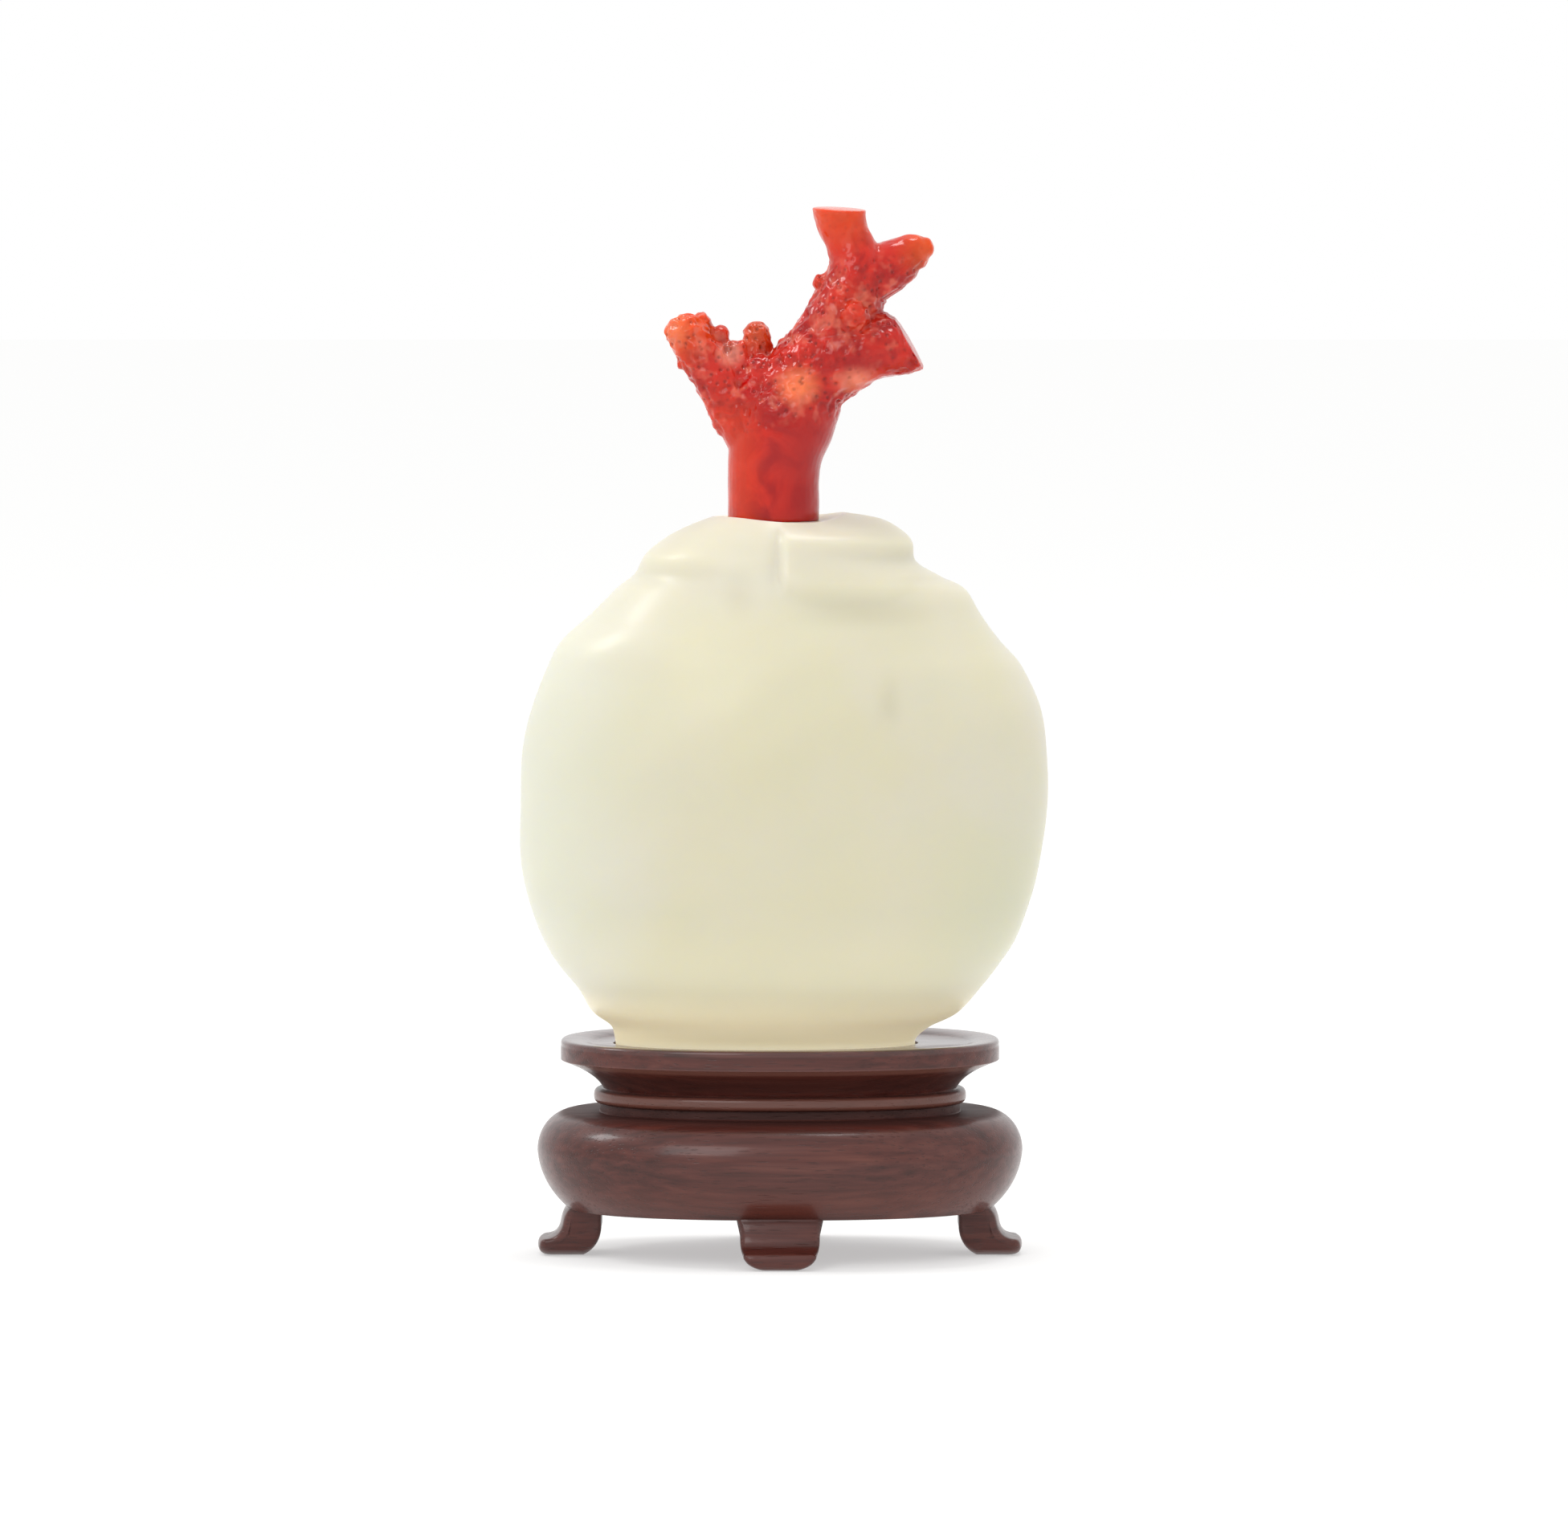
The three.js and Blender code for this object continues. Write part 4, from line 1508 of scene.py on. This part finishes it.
@dataclass(frozen=True)
class Branch:
    """One branch of the twig: points of [right, back, up, radius] in hundredths of its height."""

    line: tuple[tuple[float, float, float, float], ...]
    sides: int = 20
    tip: float = 0.0
    flat_start: bool = False


@dataclass(frozen=True)
class Cut:
    """A flat cut across a branch's end: where it passes, which way it faces, and how far it reaches."""

    point: Point
    facing: Point
    reach: float


@dataclass
class Stopper:
    """The stopper: a twig of coral on a plain round spigot.

    A branch's end rounding is pairs of how far it shrinks and how far on it lies, as shares of its radius.
    The lumps, ridges, knobs, pits and slow swell of the coral are pairs of how often they come, per
    millimetre, and how far they stand out or go in. A tip reaches so many radii and so many millimetres.
    """

    height: float = 30.9
    stem_diameter: float = 9.1
    mouth_bore: float = 6.8
    spigot_length: float = 3.5
    spigot_clearance: float = 0.35
    spigot_overlap: float = 1.5
    spigot_sides: int = 48
    foot: Point = (-0.65, 0.0, 73.4)
    voxel: float = 0.142
    smoothing_rounds: int = 5
    cut_rounding: float = 0.36
    cut_share: float = 0.94
    seed: float = 3.7
    steps_per_point: int = 7
    end_rounding: tuple[Flat, ...] = ((0.92, 0.22), (0.72, 0.4), (0.42, 0.53), (0.15, 0.57))
    spigot_rounding: tuple[Flat, ...] = ((0.35, 0.0), (0.1, 0.1), (0.0, 0.35))
    lumps: tuple[Flat, ...] = ((0.62, 0.2), (1.35, 0.1))
    ridges: Flat = (0.9, 0.16)
    ridge_sharpness: float = 2.2
    knobs: Flat = (0.8, 0.22)
    pits: Flat = (1.2, 0.22)
    pit_sharpness: float = 3.2
    swell: Flat = (0.35, 0.06)
    sinking: float = 0.03
    tip_reach: Flat = (2.1, 1.2)
    tip_core: float = 0.25
    rough_lean: float = 0.12
    rough_from: Flat = (81.2, 85.4)
    smooth_foot: Flat = (73.7, 75.2)
    smooth_tip_height: Flat = (97.5, 100.5)
    smooth_tip_place: Flat = (0.5, 3.0)
    smooth_face: Flat = (9.5, 89.0)
    smooth_face_reach: Flat = (3.2, 2.6)
    tip_smoothing: float = 0.75
    face_smoothing: float = 0.7
    cuts: tuple[Cut, ...] = (
        Cut((6.0, 0.0, 104.35), (0.06, -0.05, 1.0), 5.0),
        Cut((12.6, -0.5, 91.6), (0.861, -0.06, 0.507), 4.9),
    )

    @property
    def unit(self) -> float:
        """A hundredth of the twig's height, which its branches are measured in."""
        return self.height / 100.0

    def branches(self) -> list[Branch]:
        """The twig's branches.

        Returns:
            The trunk, the lower right stub, a lump on the left, the two arms, and the side twigs and knobs.
        """
        stem = 50 * self.stem_diameter / self.height
        trunk = (
            (0, 0, 0, stem), (0, 0, 6, stem), (0, 0, 14, stem), (0.8, 0, 22.5, stem + 0.6),
            (3.6, 0.3, 32, stem + 1.6), (8.2, 0.6, 42, stem + 0.3), (14.4, 0.8, 52, 12.8),
            (20.6, 0.6, 63, 11.6), (25.4, 0.2, 73, 11.1), (26.6, -0.2, 82.4, 9), (24.2, 0.4, 90, 7.6),
            (22.4, 0.8, 94.6, 7.9), (21.6, 0.9, 98.4, 8.4), (21.2, 0.9, 102.5, 8.7),
        )
        stub = (
            (13, -0.6, 44, 11), (21, -1.2, 52, 12.6), (31.8, -1.6, 56.4, 11.2), (42, -1.8, 56.9, 9.8),
            (45.6, -1.9, 57.4, 9.2),
        )
        right_arm = (
            (27.9, 0.5, 75, 9.2), (35.7, 1.6, 80.8, 8.8), (42.4, 2.4, 84.9, 6.9), (47, 2.8, 87.3, 5.4),
            (49.8, 2.9, 88.4, 3.2),
        )
        left_arm = (
            (-3.2, 0, 24, 10.4), (-12.2, -0.6, 37, 9), (-19.6, -1.4, 48, 7.6), (-25.6, -2, 56.6, 7.1),
            (-30, -2.4, 62.4, 6.2),
        )
        return [
            Branch(trunk, 40, 0.8, True),
            Branch(stub, 32),
            Branch(((-13, -0.5, 30.5, 6), (-16.6, -1, 30.8, 3.9))),
            Branch(right_arm, 28, 1.0),
            Branch(left_arm, 28, 1.0),
            Branch(((-24.7, -0.6, 57, 5.2), (-23.6, 0.6, 62.2, 4.2), (-23.2, 0.8, 64.8, 3.2)), tip=0.5),
            Branch(((-4.6, 2, 46, 7.8), (-5.4, 2.6, 54.8, 5.1), (-5.7, 2.8, 61.8, 4)), tip=0.6),
            Branch(((-4, 0, 30, 9), (-4.5, -0.5, 42, 10.4), (-5, -0.8, 50, 6.6))),
            Branch(((-9.8, -0.4, 43, 7.8), (-12.2, 0.6, 51, 6.4), (-12.6, 0.8, 55.4, 4.4))),
            Branch(((-14, -1, 33, 6.8), (-17.6, -2, 34.6, 4.6), (-19, -2.4, 35, 3))),
            Branch(((-26.2, -1.5, 52.4, 4.2), (-29.4, -1.8, 51.4, 2.9), (-30.3, -2, 51.2, 2.2)), tip=0.4),
            Branch(((-17.7, 0, 51.5, 6), (-17.6, 1, 57.6, 3.8), (-17.1, 1.2, 61, 2.7)), tip=0.3),
            Branch(((20.5, 0.5, 74.8, 5), (16, 0.5, 76.4, 3.2), (14.6, 0.4, 76.8, 2.4)), tip=0.3),
            Branch(((23.5, -4, 62, 7), (25.8, -9.5, 66, 5.4), (26.8, -12, 68, 4.2)), tip=0.2),
            Branch(((12, 4, 46, 8), (13, 11, 51, 6), (13.6, 15, 53.5, 4.6)), tip=0.2),
        ]

    def tube(self, branch: Branch) -> tuple[np.ndarray, Faces]:
        """Rings round a branch's line, closed with rounded ends.

        Args:
            branch: The branch.

        Returns:
            The points, and the faces as point numbers.
        """
        line = np.array(branch.line, dtype=float) * self.unit
        steps = self.steps_per_point * (len(line) - 1)
        rows = np.array([spline(line, i / steps) for i in range(steps + 1)])
        tangents = unit_rows(np.gradient(rows[:, :3], axis=0))
        angle = 2.0 * np.pi * np.arange(branch.sides) / branch.sides
        side = np.cross(tangents[0], (0.0, 1.0, 0.0))
        side /= np.linalg.norm(side)
        rings = []

        def add_ring(centre: np.ndarray, forward: np.ndarray, radius: float) -> None:
            """Adds a ring that faces forward, started from the side that the last one had."""
            over = np.cross(forward, side)
            rings.append(centre + radius * (np.cos(angle)[:, None] * side + np.sin(angle)[:, None] * over))

        first, last = rows[0], rows[-1]
        if not branch.flat_start:
            for shrink, push in reversed(self.end_rounding):
                add_ring(first[:3] - tangents[0] * push * first[3], tangents[0], first[3] * shrink)
        for row, forward in zip(rows, tangents):
            side = side - forward * np.dot(side, forward)
            side /= np.linalg.norm(side)
            add_ring(row[:3], forward, row[3])
        for shrink, push in self.end_rounding:
            add_ring(last[:3] + tangents[-1] * push * last[3], tangents[-1], last[3] * shrink)
        return loft(rings)

    def spigot(self) -> tuple[np.ndarray, Faces]:
        """The plain round plug that drops into the bore, with a rounded lower edge.

        Returns:
            The points, and the faces as point numbers.
        """
        radius, length = self.mouth_bore / 2 - self.spigot_clearance, self.spigot_length
        lower_edge = [(radius - inset, lift - length) for inset, lift in self.spigot_rounding]
        rings = []
        for reach, height in lower_edge + [(radius, self.spigot_overlap)]:
            flat = oval(reach, reach, 2.0, self.spigot_sides)
            rings.append(np.column_stack([flat, np.full(self.spigot_sides, height)]))
        return loft(rings)

    def rough_share(self, points: np.ndarray) -> np.ndarray:
        """How rough the coral is: smooth on the stem, knobbly above it, smoother at the upper right.

        Args:
            points: Rows of x, y and z.

        Returns:
            A share for each place.
        """
        x, z = points[:, 0], points[:, 2]
        above = smoothstep(z - self.rough_lean * x, *self.rough_from)
        tips = smoothstep(z, *self.smooth_tip_height) * smoothstep(x, *self.smooth_tip_place)
        face = bell(x - self.smooth_face[0], self.smooth_face_reach[0])
        face *= bell(z - self.smooth_face[1], self.smooth_face_reach[1])
        return above * (1.0 - self.tip_smoothing * tips) * (1.0 - self.face_smoothing * face)

    def relief(self, place: Vector) -> tuple[float, float, float]:
        """The lumps, ridges and pits of rough coral, and its slow swell.

        Args:
            place: Where, in millimetres.

        Returns:
            How far rough coral stands out there, how hollow it is, and how far any coral stands out.
        """
        here = place + Vector((self.seed, 0.0, 0.0))
        lumps = sum(noise.noise(here * pace) * height for pace, height in self.lumps)
        pace, height = self.ridges
        ridges = height * (0.5 - abs(noise.noise(here * pace + RIDGE_SHIFT)) * self.ridge_sharpness)
        pace, height = self.knobs
        knob = height * max(0.0, 0.5 - noise.voronoi(here * pace)[0][0])
        pace, depth = self.pits
        pit = max(0.0, 1.0 - self.pit_sharpness * noise.voronoi(here * pace + PIT_SHIFT)[0][0])
        hollow = min(1.0, pit * 1.3 + max(0.0, -lumps - ridges) * 1.6)
        pace, height = self.swell
        swell = noise.noise(here * pace) * height
        return lumps + ridges + knob - depth * pit - self.sinking, hollow, swell

    def saw(self, points: np.ndarray) -> None:
        """Flattens the ends that were cut, with a soft edge.

        Args:
            points: Rows of x, y and z, which are moved.
        """
        for cut in self.cuts:
            facing = np.array(cut.facing) / np.linalg.norm(cut.facing)
            offset = points - np.array(cut.point)
            over = self.cut_rounding * np.logaddexp(0.0, offset @ facing / self.cut_rounding)
            near = np.linalg.norm(offset, axis=1) < cut.reach
            points -= facing * (np.where(near, over, 0.0) * self.cut_share)[:, None]

    def carve(self, mesh: bpy.types.Mesh) -> None:
        """Gives the joined twig its relief and flat cuts, and stores its masks.

        Args:
            mesh: The twig's mesh.
        """
        count = len(mesh.vertices)
        points, normals = np.empty(count * 3), np.empty(count * 3)
        mesh.vertices.foreach_get("co", points)
        mesh.vertex_normals.foreach_get("vector", normals)
        points, normals = points.reshape(-1, 3) / MM, normals.reshape(-1, 3)
        rough = self.rough_share(points)
        relief, hollow, swell = np.array([self.relief(Vector(point)) for point in points]).T
        push = (relief * rough + swell) * smoothstep(points[:, 2], *self.smooth_foot)
        points += normals * push[:, None]
        self.saw(points)
        mesh.vertices.foreach_set("co", (points * MM).ravel())
        for name, values in zip(TWIG_MASKS, (self.tip_share(points), rough, hollow * rough)):
            mesh.attributes.new(name, "FLOAT", "POINT").data.foreach_set("value", values)
        mesh.update()

    def tip_share(self, points: np.ndarray) -> np.ndarray:
        """How near each place is to a thin end, where the coral turns orange.

        Args:
            points: Rows of x, y and z.

        Returns:
            A share for each place.
        """
        share = np.zeros(len(points))
        for branch in self.branches():
            if branch.tip <= 0.0:
                continue
            end = np.array(branch.line[-1], dtype=float) * self.unit
            far = np.linalg.norm(points - end[:3] - np.array(self.foot), axis=1)
            reach = self.tip_reach[0] * end[3] + self.tip_reach[1]
            fading = smoothstep(far, self.tip_core * reach, reach)
            share = np.maximum(share, branch.tip * (1.0 - fading))
        return share

    def build(self, finish: bpy.types.Material) -> bpy.types.Object:
        """Joins the branches into one skin, carves it and dresses it.

        Args:
            finish: The material.

        Returns:
            The finished stopper.
        """
        points: list[np.ndarray] = []
        faces: Faces = []
        start = 0
        for part, part_faces in [self.tube(branch) for branch in self.branches()] + [self.spigot()]:
            points.append(part)
            faces += [tuple(number + start for number in face) for face in part_faces]
            start += len(part)
        made = mesh_object("coral_twig", np.concatenate(points) + np.array(self.foot), faces)
        skin = made.modifiers.new("Skin", "REMESH")
        skin.mode = "VOXEL"
        skin.voxel_size = self.voxel * MM
        skin.adaptivity = 0.0
        softened = made.modifiers.new("Softened", "SMOOTH")
        softened.factor = 0.5
        softened.iterations = self.smoothing_rounds
        bake_modifiers(made)
        self.carve(made.data)
        made.data.shade_smooth()
        made.data.materials.clear()
        made.data.materials.append(finish)
        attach(made, BODY)
        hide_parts("coral_stopper")
        return made


# The studio


@dataclass(frozen=True)
class Softbox:
    """One square studio light: where it stands, what it looks at, its size and its power."""

    name: str
    place: Point
    aim: Point
    size: float
    power: float


@dataclass
class Studio:
    """A white room: a pale floor, soft lights and the camera of the photograph's view."""

    distance: float = 1200.0
    eye_height: float = 128.0
    aim_height: float = 49.0
    side_step: float = 0.4
    focal_pixels: float = 15000.0
    image_width: float = 1952.0
    sensor: float = 36.0
    clipping: Flat = (0.01, 50.0)
    room_light: float = 0.99
    floor_width: float = 6000.0
    floor_drop: float = 0.02
    floor_lit: float = 0.55
    floor_glow: float = 0.46

    softboxes: tuple[Softbox, ...] = (
        Softbox("key", (-600.0, 60.0, 640.0), (0.0, 0.0, 40.0), 200.0, 1.35),
        Softbox("front", (-380.0, -900.0, 650.0), (0.0, 0.0, 45.0), 520.0, 2.5),
        Softbox("fill", (760.0, -420.0, 380.0), (0.0, 0.0, 45.0), 520.0, 0.15),
        Softbox("top", (60.0, 80.0, 700.0), (0.0, 0.0, 40.0), 220.0, 1.4),
    )

    def hang(self, name: str, data: bpy.types.ID, place: Point, aim: Point) -> bpy.types.Object:
        """Hangs a lamp or the camera in the room.

        Args:
            name: The object's name.
            data: The lamp's or the camera's own data.
            place: Where it stands, in millimetres.
            aim: What it looks at, in millimetres.

        Returns:
            The object, linked to the scene.
        """
        made = bpy.data.objects.new(name, data)
        bpy.context.scene.collection.objects.link(made)
        made.location = Vector(place) * MM
        made.rotation_euler = (Vector(aim) * MM - made.location).to_track_quat("-Z", "Y").to_euler()
        return made

    def camera(self) -> None:
        """Sets up the camera of the photograph's view."""
        lens = bpy.data.cameras.new("camera")
        lens.sensor_width = self.sensor
        lens.lens = self.sensor * self.focal_pixels / self.image_width
        lens.clip_start, lens.clip_end = self.clipping
        place = (self.side_step, -self.distance, self.eye_height)
        aim = (self.side_step, 0.0, self.aim_height)
        bpy.context.scene.camera = self.hang("camera", lens, place, aim)

    def lights(self) -> None:
        """Hangs the softboxes."""
        for box in self.softboxes:
            lamp = bpy.data.lights.new(box.name, "AREA")
            lamp.shape = "SQUARE"
            lamp.size = box.size * MM
            lamp.energy = box.power
            self.hang(box.name, lamp, box.place, box.aim)

    def room(self) -> None:
        """Fills the room with an even white light, brighter to the eye than to the object."""
        world = bpy.data.worlds.new("room")
        world.use_nodes = True
        bpy.context.scene.world = world
        wiring = Wiring(world.node_tree)
        wiring.tree.nodes.clear()
        seen = wiring.node("ShaderNodeLightPath", output="Is Camera Ray")
        strength = seen * (1.0 - self.room_light) + self.room_light
        light = wiring.node("ShaderNodeBackground", {}, {"Color": WHITE, "Strength": strength})
        wiring.node("ShaderNodeOutputWorld", {}, {"Surface": light})

    def floor(self) -> None:
        """Lays the pale floor, just below the feet."""
        half, level = self.floor_width / 2, -self.floor_drop
        corners = [(-half, -half, level), (half, -half, level), (half, half, level), (-half, half, level)]
        made = mesh_object("floor", np.array(corners), [(0, 1, 2, 3)])
        p = Pattern("floor")
        inputs = {
            "Base Color": tone(250, 250, 249, self.floor_lit),
            "Roughness": 0.9,
            "Specular IOR Level": 0.0,
            "Emission Color": WHITE,
            "Emission Strength": self.floor_glow,
        }
        made.data.materials.append(p.surface(inputs))

    def build(self) -> None:
        """Sets up the whole studio."""
        scene = bpy.context.scene
        scene.view_settings.view_transform = "Standard"
        scene.view_settings.look = "None"
        self.camera()
        self.lights()
        self.room()
        self.floor()


def main() -> None:
    """Builds every piece in order and reports each one."""
    logging.basicConfig(level=logging.INFO, format="%(name)s: %(message)s")
    bottle = Bottle()
    stand = Stand()
    stopper = Stopper()
    pieces = [
        stand.build(bottle.sole(), HardwoodFinish().material()),
        bottle.build(JadeFinish().material()),
        stopper.build(CoralFinish().material()),
    ]
    for piece in pieces:
        triangles = sum(len(face.vertices) - 2 for face in piece.data.polygons)
        log.info("%s: %d triangles", piece.name, triangles)
    Studio().build()


if __name__ == "__main__":
    main()
